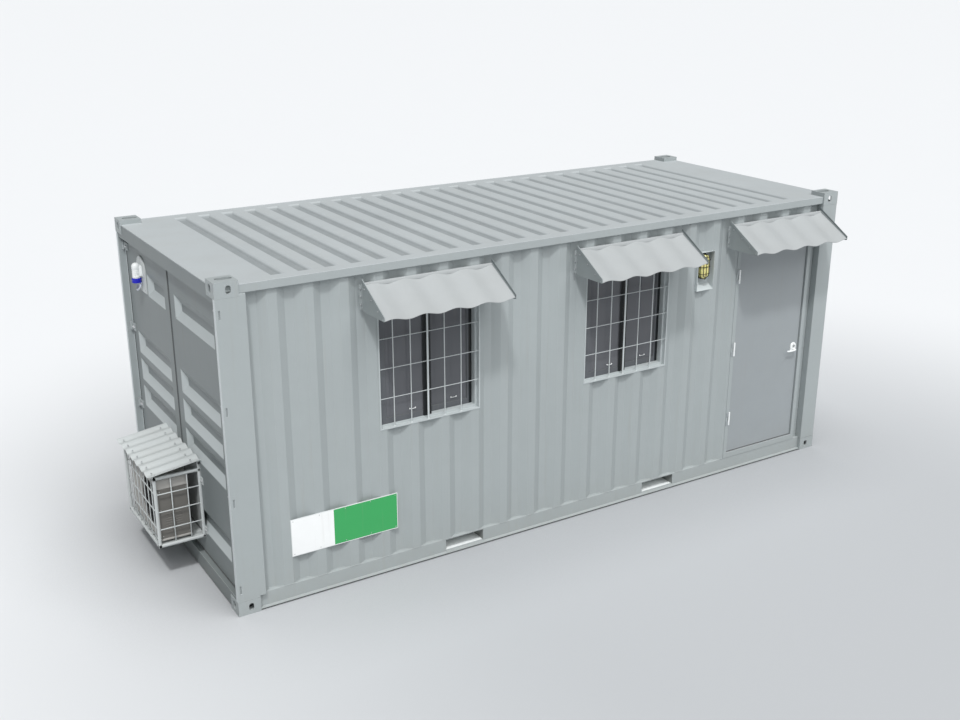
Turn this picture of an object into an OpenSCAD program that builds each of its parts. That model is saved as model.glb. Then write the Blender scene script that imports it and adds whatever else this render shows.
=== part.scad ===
// Shipping container cabin: a 20 ft steel container fitted out as a site office.
// The origin is on the ground under the middle of the container. +X runs from the
// cargo end to the plain end, and the windows and the door are in the -Y side.
// Every module is set out from the corner where the cargo end meets the front
// side (see from_corner), so its numbers are distances from those two faces.

/* [Container] */
// Length over the corner castings
length = 6058; // [5900:1:7300]
// Width over the corner castings
width = 2438; // [2300:1:2950]
// Height over the corner castings
height = 2591; // [2480:1:3110]

/* [Corner castings] */
// Casting length along the container
casting_l = 178; // [170:1:214]
// Casting width across the container
casting_w = 162; // [155:1:195]
// Casting height
casting_h = 118; // [110:1:125]
// Thickness of the wall with the twistlock aperture
casting_wall = 28; // [20:1:34]
// Thickness of the other casting walls
casting_side = 12; // [8:1:14]
// Twistlock aperture length
aperture_l = 124; // [110:0.5:126]
// Twistlock aperture width
aperture_w = 63.5; // [50:0.5:76]
// Aperture centre from the end of the container
aperture_x = 102.5; // [98:0.5:104]
// Aperture centre from the side of the container
aperture_y = 89.5; // [80:0.5:90]

/* [Corner posts] */
// Face width of the posts at the cargo end
cargo_post_w = 225; // [215:1:270]
// Depth of the rebate that the cargo doors close into
post_rebate = 56; // [50:1:67]
// Width of the post's end face beside the rebate
post_lip = 40; // [34:1:48]
// Depth of a post behind the side of the container
post_depth = 85; // [80:1:95]
// Leg thickness of the posts at the plain end
plain_post_t = 72; // [60:1:80]
// Steel plate of the posts and headers
plate_t = 6; // [4:0.5:8]

/* [Rails] */
// Underside of the bottom rails above the ground
rail_base = 14; // [10:1:17]
// Top of the bottom rails, where the floor lies
rail_top = 130; // [125:1:156]
// Steel thickness of the bottom rails
rail_t = 4.5; // [3:0.5:6]
// Reach of a bottom rail's top flange under the floor
rail_flange = 76; // [70:1:92]
// How far the bottom lip stands out from the rail's web
rail_lip = 32; // [20:1:33]
// Size of the square top rails
top_rail = 60; // [50:1:72]
// Top rails set back from the side of the container
top_rail_inset = 12; // [8:1:16]
// Castings stand this far above the roof rails
casting_rise = 40; // [30:1:46]

/* [Walls] */
// Outer plane of the corrugated sheet, behind the side of the container
skin_inset = 34; // [33:1:40]
// Sheet thickness
sheet_t = 2.5; // [2:0.5:3]
// Depth of the corrugations
wave_depth = 36; // [30:1:43]
// Width of an outer flat
flat_out = 72; // [60:1:86]
// Width of an inner flat
flat_in = 70; // [58:1:84]
// Run of a sloping face
wave_slope = 68; // [50:1:80]
// First outer flat, from the cargo end
wave_start = 391; // [330:1:460]
// Thickness of the insulated inner lining
lining_t = 70; // [58:1:84]
// Thickness of the floor deck
deck_t = 50; // [42:1:60]
// Thickness of the ceiling panel
ceiling_t = 45; // [38:1:54]
// Top of the ceiling panel below the top of the castings
ceiling_drop = 126; // [120:1:150]

/* [Fork pockets and cross members] */
// Width of a fork pocket
pocket_w = 360; // [300:1:432]
// Height of a fork pocket
pocket_h = 96; // [80:1:98]
// Distance between the middles of the two pockets
pocket_pitch = 2074; // [1730:1:2480]
// Steel thickness of pockets and cross members
member_t = 4; // [3:0.5:6]
// Cross member flange width
member_w = 45; // [38:1:54]
// Cross members between the pockets
members_between = 6; // [4:1:7]
// Cross members outside each pocket
members_outside = 5; // [4:1:6]

/* [Roof] */
// Pitch of the pressed troughs
trough_pitch = 209; // [175:1:250]
// Depth of a trough
trough_depth = 20; // [14:1:24]
// Width of a trough at the roof surface
trough_w = 110; // [90:1:132]
// Width of a trough at its bottom
trough_floor = 50; // [40:1:60]
// Roof edge to the end of a trough
trough_margin = 130; // [110:1:156]
// Run of a trough's sloping end
trough_end = 60; // [48:1:72]
// Number of troughs
trough_count = 25; // [21:1:26]

/* [Cargo doors] */
// Outer face of the leaves, behind the end of the container
leaf_inset = 49; // [42:1:54]
// Thickness of a leaf
leaf_t = 50; // [42:1:54]
// Top of the sill under the leaves
cargo_sill_top = 140; // [132:1:150]
// Underside of the header, below the top of the castings
cargo_header_drop = 156; // [146:1:170]
// Gap that the gasket fills around a leaf
leaf_gap = 12; // [8:1:16]
// Gap between the two leaves
meeting_gap = 20; // [12:1:24]
// Height of a pressed band at the leaf face
band_h = 194; // [160:1:200]
// Height of a pressed band at its bottom
band_floor = 64; // [50:1:78]
// Depth of a pressed band
band_depth = 36; // [28:1:38]
// Leaf edge to the end of a band
band_margin = 117; // [100:1:140]
// Inner bands above and below mid-height
band_near = 246; // [205:1:260]
// Outer bands above and below mid-height
band_far = 850; // [800:1:870]
// Middle of the lowest cargo hinge
hinge_low = 220; // [200:1:250]
// Pitch of the four cargo hinges of a leaf
hinge_pitch = 713; // [650:1:720]
// Top band of the rear leaf cut short beside the power inlet
band_trim = 430; // [380:1:500]

/* [Windows] */
// Window opening width
win_w = 877; // [730:1:960]
// Window opening height
win_h = 962; // [800:1:980]
// Underside of the window openings
win_z = 1237; // [1100:1:1240]
// Middle of the first window, from the cargo end
win_1_x = 1690; // [1500:1:1900]
// Middle of the second window
win_2_x = 3626; // [3400:1:3700]
// Steel of the window's reveal box
reveal_t = 4; // [3:0.5:5]
// Width of the fixed frame inside the reveal
win_frame = 18; // [12:1:26]
// Width of a sash's stiles and rails
sash_w = 46; // [36:1:56]
// Thickness of a sash
sash_t = 24; // [20:1:28]
// Front of the outer sash, behind the side of the container
sash_front = 66; // [60:1:72]
// Front of the inner sash
sash_back = 114; // [106:1:122]
// Glass thickness
glass_t = 6; // [4:1:8]

/* [Personnel door] */
// Free edge of the door leaf, from the plain end
door_inset = 301; // [290:1:340]
// Width of the door leaf
door_w = 842; // [700:1:850]
// Top of the door leaf
door_top = 2175; // [2080:1:2178]
// Thickness of the door leaf
door_t = 44; // [38:1:52]
// Front of the door leaf, behind the side of the container
door_front = 46; // [44:1:52]
// Clearance around the moving leaf
door_gap = 6; // [5:0.5:7]
// Width of the frame's jambs and head
jamb_w = 40; // [32:1:44]
// How far the frame's stop stands into the doorway
door_stop = 16; // [12:1:20]
// Threshold above the floor deck
threshold_h = 10; // [7:1:14]
// Radius of the hinge barrels
barrel_r = 11; // [9:0.5:13]
// Length of the hinge barrels
barrel_h = 130; // [105:1:156]
// Height of the lever handle's spindle
handle_z = 1090; // [950:1:1200]
// Spindle to the free edge of the door
handle_backset = 62; // [55:1:75]
// Length of the lever
lever_l = 130; // [110:1:150]

/* [Awnings] */
// Awning width
awning_w = 1120; // [1000:1:1150]
// Reach of an awning from the wall skin
awning_reach = 340; // [280:1:400]
// Top of the awning at the wall
awning_top = 2422; // [2400:1:2440]
// Fall of the awning from the wall to its lip
awning_fall = 192; // [160:1:198]
// Middles of the window awnings, outwards from the windows below them
awning_shift = 4; // [0:1:20]
// Middle of the door awning short of the middle of the door
door_awning_shift = 19; // [17:1:40]
// Height of the soft waves
awning_wave = 12; // [8:1:14]
// Pitch of the soft waves
awning_pitch = 245; // [200:1:290]
// Awning sheet thickness
awning_t = 3; // [2:0.5:4]
// Plate thickness of the side gussets
gusset_t = 5; // [4:0.5:8]

/* [Light niche] */
// Niche to the frame of the personnel door
niche_gap = 277; // [250:1:300]
// Niche width
niche_w = 191; // [160:1:229]
// Underside of the niche
niche_z = 1857; // [1800:1:1900]
// Niche height
niche_h = 352; // [320:1:420]
// Depth of the niche behind the wall skin
niche_d = 68; // [56:1:80]
// Width of the bulkhead light's base
lamp_w = 116; // [100:1:130]
// Height of the light's base
lamp_h = 240; // [210:1:250]
// Depth of the light's base
lamp_d = 22; // [18:1:26]
// Depth of the lens in front of the base
lens_d = 46; // [38:1:52]

/* [Sign and power inlet] */
// Sign plate, from the cargo end
sign_x = 462; // [440:1:500]
// Width of the sign plate
sign_w = 908; // [760:1:1090]
// Height of the sign plate
sign_h = 310; // [260:1:372]
// Underside of the sign plate
sign_z = 360; // [300:1:430]
// Sign plate thickness
sign_t = 3; // [2:0.5:4]
// Middle of the power inlet, from the front side
inlet_y = 1925; // [1900:1:1960]
// Underside of the inlet's back plate
inlet_z = 2062; // [2050:1:2100]
// Width of the inlet's back plate
inlet_w = 230; // [200:1:260]
// Height of the inlet's back plate
inlet_h = 300; // [250:1:320]
// Radius of the inlet's collar
collar_r = 39; // [36:1:46]

/* [Cooling unit and its cage] */
// Cage width
cage_w = 810; // [640:1:980]
// Reach of the cage in front of the container's end
cage_reach = 330; // [310:1:396]
// Underside of the cage
cage_z = 300; // [250:1:360]
// Height of the cage's front frame
cage_h = 600; // [580:1:720]
// Middle of the cage, to the front of the container's centre line
cage_shift = 10; // [0:1:30]
// Size of the cage's square tubes
cage_tube = 32; // [26:1:38]
// Size of the cage's bars
bar_t = 9; // [6:1:12]
// Upright bars in the front of the cage
front_uprights = 5; // [3:1:7]
// Upright bars in a side of the cage
side_uprights = 2; // [1:1:3]
// Cross bars in the front and sides of the cage
cage_cross_bars = 3; // [2:1:4]
// Cage roof overhang at the sides and front
roof_overhang = 35; // [20:1:45]
// Cage roof at the wall above the top of the cage's frame
roof_lift = 66; // [60:1:90]
// Fall of the cage roof from the wall to its lip
roof_fall = 56; // [40:1:67]
// Waves across the cage roof
roof_waves = 7; // [5:1:9]
// Cooling unit clear of the cage's tubes at its sides and top
unit_clear = 8; // [4:1:12]
// Depth of the cooling unit
unit_d = 250; // [210:1:270]
// Radius of the unit's fan opening
fan_r = 205; // [170:1:210]
// Depth of the fan opening
fan_depth = 60; // [48:1:72]
// Rim of the casing beside the fan opening
fan_rim = 30; // [20:1:40]

/* [Hidden] */

// Overlap of cutting tools beyond the face they cut
cut = 1;
// Facets of round holes and rods
round_fn = 48;
// Facets of large rounds
big_fn = 96;

wave_pitch = flat_out + flat_in + 2 * wave_slope;
roof_z = height - casting_rise;
top_rail_z = roof_z - top_rail;
post_top = height - casting_h;

// Slots in the side face and the end face of a casting: [length, width]
side_slot = [60, 40];
end_slot = [72, 50];

// Fork pockets lie just under the rails' top flanges, cross members between them.
pocket_z = rail_top - rail_t - member_t - pocket_h;
pocket_ends = [for (side = [-1, 1]) length / 2 + side * pocket_pitch / 2];
member_y0 = skin_inset + rail_t;
member_z0 = rail_base + rail_t;
member_step = (pocket_pitch - pocket_w - 2 * member_t) / (members_between + 1);
outer_gap = length / 2 - pocket_pitch / 2 - pocket_w / 2 - member_t - post_depth;
outer_step = outer_gap / (members_outside + 1);

// Inner shell: the deck, linings and ceiling stand inside these faces.
shell_gap = 11;
shell_y = post_depth;
shell_x0 = leaf_inset + leaf_t + shell_gap;
shell_x1 = length - post_depth;
deck_top = rail_top + deck_t;
ceiling_top = height - ceiling_drop;
ceiling_z = ceiling_top - ceiling_t;
room_y = shell_y + lining_t;

// Side walls run from the wrap of the cargo post to the casting line at the plain end.
wall_x0 = cargo_post_w;
wall_x1 = length - casting_l;

// Cargo doors, their sill and header, gaskets and hinges
sill_x = 6;
header_d = 80;
leaf_z0 = cargo_sill_top + leaf_gap;
header_z = height - cargo_header_drop;
leaf_z1 = header_z - leaf_gap;
leaf_y0 = post_depth + leaf_gap;
leaf_w = (width - 2 * leaf_y0 - meeting_gap) / 2;
mid_height = height / 2;
gasket_inset = 6;
gasket_d = leaf_t - 2 * gasket_inset;
hinge_blade_h = 64;
hinge_blade_t = 9;
hinge_blade_l = 62;
hinge_pin_r = 12;
hinge_pin_gap = 6;
hinge_pin_y = post_lip + hinge_pin_r + hinge_pin_gap;
hinge_slot_w = 12;
hinge_slot_x = 28;

// Windows
window_lip = 8;

// Personnel door: leaf, frame, hinges with a pin through the knuckles, lever handle
door_x = length - door_inset - door_w;
door_z0 = deck_top + threshold_h;
frame_x0 = door_x - door_gap - jamb_w;
frame_x1 = door_x + door_w + door_gap + jamb_w;
frame_z1 = door_top + door_gap + jamb_w;
frame_front = skin_inset - reveal_t;
hinge_heights = [537, 1228, 1925];
hinge_setback = 7;
barrel_gap = 2;
hinge_axis_x = door_x - hinge_setback;
hinge_axis_y = door_front - barrel_r - barrel_gap;
barrel_pin_r = 4;
knuckle_h = barrel_h / 3;
knuckle_play = 0.5;
barrel_room = 5;
barrel_end_room = 3;
hinge_plate_t = 4;
hinge_plate_l = 38;
hinge_plate_edge = 2;
handle_x = door_x + door_w - handle_backset;
spindle_r = 8;
running_gap = 0.1;
lever_r = 9;
lever_out = 52;

// Openings in the front wall: [low x, high x, low z, high z]
function window_hole(x) = [x - win_w / 2 - reveal_t, x + win_w / 2 + reveal_t,
    win_z - reveal_t, win_z + win_h + reveal_t];
niche_x = frame_x0 - niche_gap - niche_w;
niche_hole = [niche_x, niche_x + niche_w, niche_z, niche_z + niche_h];
door_hole = [frame_x0, frame_x1, rail_top, frame_z1];
front_holes = [window_hole(win_1_x), window_hole(win_2_x), niche_hole, door_hole];
lining_holes = [window_hole(win_1_x), window_hole(win_2_x), door_hole];

// Awnings: middles along the wall, flange at the wall, gussets below and above the sheet
awning_middles = [win_1_x - awning_shift, win_2_x + awning_shift,
    door_x + door_w / 2 - door_awning_shift];
awning_flange = 34;
awning_steps = 54;
gusset_h = 218;
gusset_above = 14;
gusset_nose = 8;

// Light niche: rise of its sloping bottom for its depth, and the light in it
niche_rise = 0.7;
lamp_drop = 14;
lamp_x = niche_x + niche_w / 2;
lamp_z = niche_z + niche_h - reveal_t - lamp_drop - lamp_h / 2;
lamp_back = skin_inset + niche_d;
lens_rim = 10;
lens_step = 12;

// Power inlet: back plate, body and collar below it
inlet_plate_t = 8;
inlet_face = leaf_inset - inlet_plate_t;
inlet_body_r = 31;
inlet_body_h = 130;
inlet_body_z = inlet_z + 118;
inlet_neck_w = 44;
inlet_neck_rise = 16;
collar_h = 36;
collar_room = 3;
inlet_axis_x = inlet_face - collar_r - collar_room;

// Cage around the cooling unit, and the unit on two feet in it
cage_y = width / 2 - cage_shift;
cage_top = cage_z + cage_h;
cage_roof_z = cage_top + roof_lift;
cage_roof_wave = 9;
cage_roof_t = 3;
cage_roof_steps = 70;
cage_roof_x = -cage_reach - roof_overhang;
cage_floor_t = 4;
foot_w = 50;
foot_h = 24;
unit_front_gap = 3;
unit_w = cage_w - 2 * cage_tube - 2 * unit_clear;
unit_h = cage_h - 2 * cage_tube - unit_clear;
unit_z = cage_z + cage_tube;
unit_front = -cage_reach + cage_tube + unit_front_gap;
fan_r_fit = min(fan_r, unit_w / 2 - fan_rim, unit_h / 2 - fan_rim);
fan_y = cage_y - unit_w / 2 + fan_rim + fan_r_fit;
foot_shift = unit_w / 3;

// ---- helpers -------------------------------------------------------------

// Sets out its children from the corner of the cargo end and the front side.
module from_corner() {
    translate([-length / 2, -width / 2, 0]) children();
}

// Box between two corners.
module block(low, high) {
    translate(low) cube(high - low);
}

// Outline in (Y, Z), run along X.
module along_x(x0, x1) {
    translate([x0, 0, 0]) rotate([90, 0, 90]) linear_extrude(x1 - x0) children();
}

// Outline in (X, Z), run along Y.
module along_y(y0, y1) {
    translate([0, y1, 0]) rotate([90, 0, 0]) linear_extrude(y1 - y0) children();
}

// Outline in (X, Y), run along Z.
module along_z(z0, z1) {
    translate([0, 0, z0]) linear_extrude(z1 - z0) children();
}

// Repeats its children at the front side and, mirrored, at the rear side.
module both_sides() {
    children();
    rear_side() children();
}

module rear_side() {
    translate([0, width, 0]) mirror([0, 1, 0]) children();
}

module plain_end() {
    translate([length, 0, 0]) mirror([1, 0, 0]) children();
}

// Slot outline with round ends, long side along X.
module slot(l, w) {
    square([l - w, w], center = true);
    for (side = [-1, 1])
        translate([side * (l - w) / 2, 0]) circle(d = w, $fn = round_fn);
}

// Depth of the corrugation at distance s from the start of an outer flat.
function wave(s) =
    let (p = s - wave_pitch * floor(s / wave_pitch))
    p < flat_out ? 0
    : p < flat_out + wave_slope ? wave_depth * (p - flat_out) / wave_slope
    : p < flat_out + wave_slope + flat_in ? wave_depth
    : wave_depth * (wave_pitch - p) / wave_slope;

// Places where the corrugation bends between a and b, in order.
function wave_bends(a, b, start) = [
    for (k = [floor((a - start) / wave_pitch) : ceil((b - start) / wave_pitch)],
         o = [0, flat_out, flat_out + wave_slope, flat_out + wave_slope + flat_in])
        let (x = start + k * wave_pitch + o)
        if (x > a + 1 && x < b - 1) x];

// Corrugated sheet standing from z0 to z1 between a and b, facing -Y.
module corrugated(a, b, z0, z1, start) {
    xs = concat([a], wave_bends(a, b, start), [b]);
    last = len(xs) - 1;
    face = [for (x = xs) [x, skin_inset + wave(x - start)]];
    back = [for (i = [last : -1 : 0]) [face[i][0], face[i][1] + sheet_t]];
    along_z(z0, z1) polygon(concat(face, back));
}

// Sheet with soft round waves across its width, width w, run l, middle at 0.
function soft_wave(s, pitch, rise) = -rise * cos(360 * s / pitch);

module wavy_sheet(w, l, pitch, rise, t, steps) {
    xs = [for (i = [0 : steps]) -w / 2 + w * i / steps];
    top = [for (x = xs) [x, soft_wave(x, pitch, rise) + rise + t]];
    under = [for (i = [steps : -1 : 0]) [xs[i], soft_wave(xs[i], pitch, rise) + rise]];
    rotate([90, 0, 0]) linear_extrude(l) polygon(concat(top, under));
}

// Rectangular ring in the XZ plane between two depths.
module ring(x0, x1, z0, z1, y0, y1, w) {
    difference() {
        block([x0, y0, z0], [x1, y1, z1]);
        block([x0 + w, y0 - cut, z0 + w], [x1 - w, y1 + cut, z1 - w]);
    }
}

// ---- base frame ----------------------------------------------------------

// One casting with its outer corner at the origin and its aperture downwards.
module casting() {
    difference() {
        cube([casting_l, casting_w, casting_h]);
        block([casting_side, casting_side, casting_wall],
              [casting_l - casting_side, casting_w - casting_side, casting_h - casting_side]);
        translate([aperture_x, aperture_y, -cut])
            linear_extrude(casting_wall + 2 * cut) slot(aperture_l, aperture_w);
        translate([aperture_x, -cut, casting_h / 2]) rotate([-90, 90, 0])
            linear_extrude(casting_side + 2 * cut) slot(side_slot[0], side_slot[1]);
        translate([-cut, aperture_y, casting_h / 2]) rotate([90, 90, 90])
            linear_extrude(casting_side + 2 * cut) slot(end_slot[0], end_slot[1]);
    }
}

module casting_set() {
    both_sides() casting();
    plain_end() both_sides() casting();
}

module bottom_castings() {
    color([0.68, 0.71, 0.71]) from_corner() casting_set();
}

module top_castings() {
    color([0.68, 0.71, 0.71]) from_corner()
        translate([0, 0, height]) mirror([0, 0, 1]) casting_set();
}

// Closed post with a rebate for the cargo doors and slots beside their hinges.
module cargo_post() {
    difference() {
        union() {
            along_z(casting_h, post_top)
                polygon([[0, 0], [casting_l, 0], [casting_l, post_depth],
                    [post_rebate, post_depth], [post_rebate, post_lip], [0, post_lip]]);
            block([casting_l - plate_t, 0, rail_top], [cargo_post_w, post_depth, post_top]);
            block([casting_l, 0, rail_top], [cargo_post_w, post_depth, top_rail_z]);
        }
        along_z(rail_top + plate_t, post_top - plate_t)
            polygon([[plate_t, plate_t], [cargo_post_w - plate_t, plate_t],
                [cargo_post_w - plate_t, post_depth - plate_t],
                [post_rebate + plate_t, post_depth - plate_t],
                [post_rebate + plate_t, post_lip - plate_t], [plate_t, post_lip - plate_t]]);
        for (i = [0 : 3])
            translate([hinge_slot_x - hinge_slot_w / 2, -cut,
                       hinge_low + i * hinge_pitch - hinge_blade_h / 2])
                cube([hinge_slot_w, plate_t + 2 * cut, hinge_blade_h]);
    }
}

module cargo_end_posts() {
    color([0.69, 0.73, 0.73]) from_corner() both_sides() cargo_post();
}

// Angle-shaped closed post.
module plain_post() {
    inner = plain_post_t - plate_t;
    along_z(casting_h, post_top) difference() {
        polygon([[0, 0], [casting_l, 0], [casting_l, plain_post_t],
            [plain_post_t, plain_post_t], [plain_post_t, casting_w], [0, casting_w]]);
        polygon([[plate_t, plate_t], [casting_l - plate_t, plate_t],
            [casting_l - plate_t, inner], [inner, inner],
            [inner, casting_w - plate_t], [plate_t, casting_w - plate_t]]);
    }
}

module plain_end_posts() {
    color([0.69, 0.73, 0.73]) from_corner() plain_end() both_sides() plain_post();
}

// Section of a bottom rail in (Y, Z): web, top flange inwards, lip outwards.
module rail_section() {
    polygon([[skin_inset, rail_base + rail_t], [skin_inset, rail_top],
        [skin_inset + rail_flange, rail_top], [skin_inset + rail_flange, rail_top - rail_t],
        [skin_inset + rail_t, rail_top - rail_t], [skin_inset + rail_t, rail_base],
        [skin_inset - rail_lip, rail_base], [skin_inset - rail_lip, rail_base + rail_t]]);
}

// The three stretches of a bottom rail beside and between the fork pockets.
module bottom_rail() {
    starts = concat([casting_l], [for (x = pocket_ends) x + pocket_w / 2]);
    ends = concat([for (x = pocket_ends) x - pocket_w / 2], [length - casting_l]);
    for (i = [0 : len(starts) - 1])
        along_x(starts[i], ends[i]) rail_section();
}

module front_bottom_rail() {
    color([0.66, 0.70, 0.70]) from_corner() bottom_rail();
}

module rear_bottom_rail() {
    color([0.66, 0.70, 0.70]) from_corner() rear_side() bottom_rail();
}

// Straps that carry the rails on over and under each fork pocket.
module rail_straps() {
    color([0.66, 0.70, 0.70]) from_corner() both_sides()
        for (x = pocket_ends)
            along_x(x - pocket_w / 2, x + pocket_w / 2) difference() {
                rail_section();
                translate([skin_inset - cut, pocket_z]) square([rail_t + 2 * cut, pocket_h]);
            }
}

// Square hollow rail under the edge of the roof.
module roof_rail() {
    inset = top_rail_inset;
    along_x(casting_l, length - casting_l) difference() {
        translate([inset, top_rail_z]) square(top_rail);
        translate([inset + rail_t, top_rail_z + rail_t]) square(top_rail - 2 * rail_t);
    }
}

module front_top_rail() {
    color([0.67, 0.71, 0.71]) from_corner() roof_rail();
}

module rear_top_rail() {
    color([0.67, 0.71, 0.71]) from_corner() rear_side() roof_rail();
}

module cargo_end_sill() {
    color([0.60, 0.64, 0.64]) from_corner() difference() {
        union() {
            block([sill_x, casting_w, rail_base], [shell_x0, width - casting_w, cargo_sill_top]);
            block([sill_x, post_lip, casting_h], [post_rebate, width - post_lip, cargo_sill_top]);
            block([sill_x, post_depth, casting_h],
                  [shell_x0, width - post_depth, cargo_sill_top]);
        }
        block([sill_x + plate_t, casting_w + plate_t, rail_base + plate_t],
              [shell_x0 - plate_t, width - casting_w - plate_t, cargo_sill_top - plate_t]);
    }
}

module cargo_end_header() {
    color([0.60, 0.64, 0.64]) from_corner() difference() {
        union() {
            block([sill_x, casting_w, header_z], [sill_x + header_d, width - casting_w, roof_z]);
            block([sill_x, post_lip, header_z], [post_rebate, width - post_lip, post_top]);
            block([sill_x, post_depth, header_z],
                  [sill_x + header_d, width - post_depth, post_top]);
        }
        block([sill_x + plate_t, casting_w + plate_t, header_z + plate_t],
              [sill_x + header_d - plate_t, width - casting_w - plate_t, roof_z - plate_t]);
    }
}

// Angle under the plain end wall.
module plain_end_sill() {
    color([0.66, 0.70, 0.70]) from_corner() plain_end()
        along_y(casting_w, width - casting_w)
            polygon([[skin_inset, rail_base], [skin_inset, rail_top],
                [skin_inset + rail_flange, rail_top],
                [skin_inset + rail_flange, rail_top - rail_t],
                [skin_inset + rail_t, rail_top - rail_t], [skin_inset + rail_t, rail_base]]);
}

module plain_end_header() {
    inset = top_rail_inset;
    color([0.67, 0.71, 0.71]) from_corner() plain_end()
        along_y(casting_w, width - casting_w) difference() {
            translate([inset, top_rail_z]) square(top_rail);
            translate([inset + rail_t, top_rail_z + rail_t]) square(top_rail - 2 * rail_t);
        }
}

// Channel across the container, its web at x.
module cross_member(x) {
    half = member_w / 2;
    along_y(member_y0 + rail_flange, width - member_y0 - rail_flange)
        polygon([[x - half, member_z0], [x + half, member_z0],
            [x + half, member_z0 + member_t], [x - half + member_t, member_z0 + member_t],
            [x - half + member_t, rail_top - member_t], [x + half, rail_top - member_t],
            [x + half, rail_top], [x - half, rail_top]]);
    both_sides() block([x - half, member_y0, member_z0],
        [x - half + member_t, member_y0 + rail_flange + cut, rail_top - rail_t]);
}

module cross_members() {
    color([0.45, 0.47, 0.47]) from_corner() {
        for (i = [1 : members_between])
            cross_member(length / 2 - pocket_pitch / 2 + pocket_w / 2 + member_t
                + i * member_step);
        for (i = [1 : members_outside], side = [-1, 1])
            cross_member(length / 2 + side * (pocket_pitch / 2 + pocket_w / 2 + member_t
                + i * outer_step));
    }
}

// Upright side plates of the two fork pockets.
module fork_pocket_sides() {
    color([0.50, 0.53, 0.53]) from_corner()
        for (x = pocket_ends, edge = [x - pocket_w / 2 - member_t, x + pocket_w / 2])
            block([edge, member_y0, pocket_z],
                  [edge + member_t, width - member_y0, pocket_z + pocket_h]);
}

// Plates over and under the two fork pockets.
module fork_pocket_plates() {
    half = pocket_w / 2 + member_t;
    color([0.50, 0.53, 0.53]) from_corner()
        for (x = pocket_ends, z = [pocket_z - member_t, pocket_z + pocket_h])
            block([x - half, member_y0, z], [x + half, width - member_y0, z + member_t]);
}

module floor_deck() {
    color([0.42, 0.38, 0.33]) from_corner()
        block([shell_x0, shell_y, rail_top], [shell_x1, width - shell_y, deck_top]);
}

// ---- roof ----------------------------------------------------------------

// Trough body: widths at the roof surface and at the bottom, drawn down by depth.
module trough(x, drop, grow) {
    top = trough_w / 2 + grow;
    low = trough_floor / 2 + grow;
    y0 = trough_margin - grow;
    y1 = width - trough_margin + grow;
    intersection() {
        along_y(y0 - cut, y1 + cut)
            polygon([[x - top, roof_z + sheet_t], [x - low, roof_z + sheet_t - drop],
                [x + low, roof_z + sheet_t - drop], [x + top, roof_z + sheet_t]]);
        along_x(x - top - cut, x + top + cut)
            polygon([[y0, roof_z + sheet_t], [y0 + trough_end, roof_z + sheet_t - drop],
                [y1 - trough_end, roof_z + sheet_t - drop], [y1, roof_z + sheet_t]]);
    }
}

module roof_sheet() {
    inset = top_rail_inset;
    first = length / 2 - (trough_count - 1) / 2 * trough_pitch;
    color([0.74, 0.77, 0.77]) from_corner() difference() {
        union() {
            difference() {
                block([sill_x, inset, roof_z], [length - inset, width - inset, roof_z + sheet_t]);
                both_sides() block([-cut, -cut, roof_z - cut],
                    [casting_l, casting_w, roof_z + sheet_t + cut]);
                plain_end() both_sides() block([-cut, -cut, roof_z - cut],
                    [casting_l, casting_w, roof_z + sheet_t + cut]);
            }
            for (i = [0 : trough_count - 1])
                trough(first + i * trough_pitch, trough_depth + sheet_t, sheet_t);
        }
        for (i = [0 : trough_count - 1])
            trough(first + i * trough_pitch, trough_depth, 0);
    }
}

module ceiling_panel() {
    color([0.88, 0.88, 0.86]) from_corner()
        block([shell_x0, shell_y, ceiling_z], [shell_x1, width - shell_y, ceiling_top]);
}

// ---- walls ---------------------------------------------------------------

// Full-height stretches of the front wall between its openings.
module front_wall() {
    ends = concat([wall_x0], [for (h = front_holes) h[1]]);
    starts = concat([for (h = front_holes) h[0]], [wall_x1]);
    color([0.67, 0.71, 0.71]) from_corner()
        for (i = [0 : len(ends) - 1])
            corrugated(ends[i], starts[i], rail_top, top_rail_z, wave_start);
}

// Sheet below and above each opening.
module front_wall_infills() {
    color([0.67, 0.71, 0.71]) from_corner()
        for (h = front_holes) {
            if (h[2] > rail_top)
                corrugated(h[0], h[1], rail_top, h[2], wave_start);
            corrugated(h[0], h[1], h[3], top_rail_z, wave_start);
        }
}

module rear_wall() {
    color([0.67, 0.71, 0.71]) from_corner() rear_side()
        corrugated(wall_x0, wall_x1, rail_top, top_rail_z, wave_start);
}

// End wall with an outer flat on its middle line.
module plain_end_wall() {
    end_start = (width - flat_out) / 2;
    color([0.67, 0.71, 0.71]) from_corner()
        translate([length, 0, 0]) rotate(90)
            corrugated(casting_w, width - casting_w, rail_top, top_rail_z, end_start);
}

// Insulated panels between the openings, with a pocket behind the light niche.
module front_lining() {
    x0 = shell_x0 + lining_t;
    x1 = shell_x1 - lining_t;
    ends = concat([x0], [for (h = lining_holes) h[1]]);
    starts = concat([for (h = lining_holes) h[0]], [x1]);
    color([0.86, 0.86, 0.84]) from_corner() difference() {
        for (i = [0 : len(ends) - 1])
            block([ends[i], shell_y, deck_top], [starts[i], room_y, ceiling_z]);
        block([niche_x, shell_y - cut, niche_z],
              [niche_x + niche_w, skin_inset + niche_d + reveal_t, niche_z + niche_h]);
    }
}

module front_lining_infills() {
    color([0.86, 0.86, 0.84]) from_corner()
        for (h = lining_holes) {
            if (h[2] > deck_top)
                block([h[0], shell_y, deck_top], [h[1], room_y, h[2]]);
            block([h[0], shell_y, h[3]], [h[1], room_y, ceiling_z]);
        }
}

module rear_lining() {
    color([0.86, 0.86, 0.84]) from_corner()
        block([shell_x0 + lining_t, width - room_y, deck_top],
              [shell_x1 - lining_t, width - shell_y, ceiling_z]);
}

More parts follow.
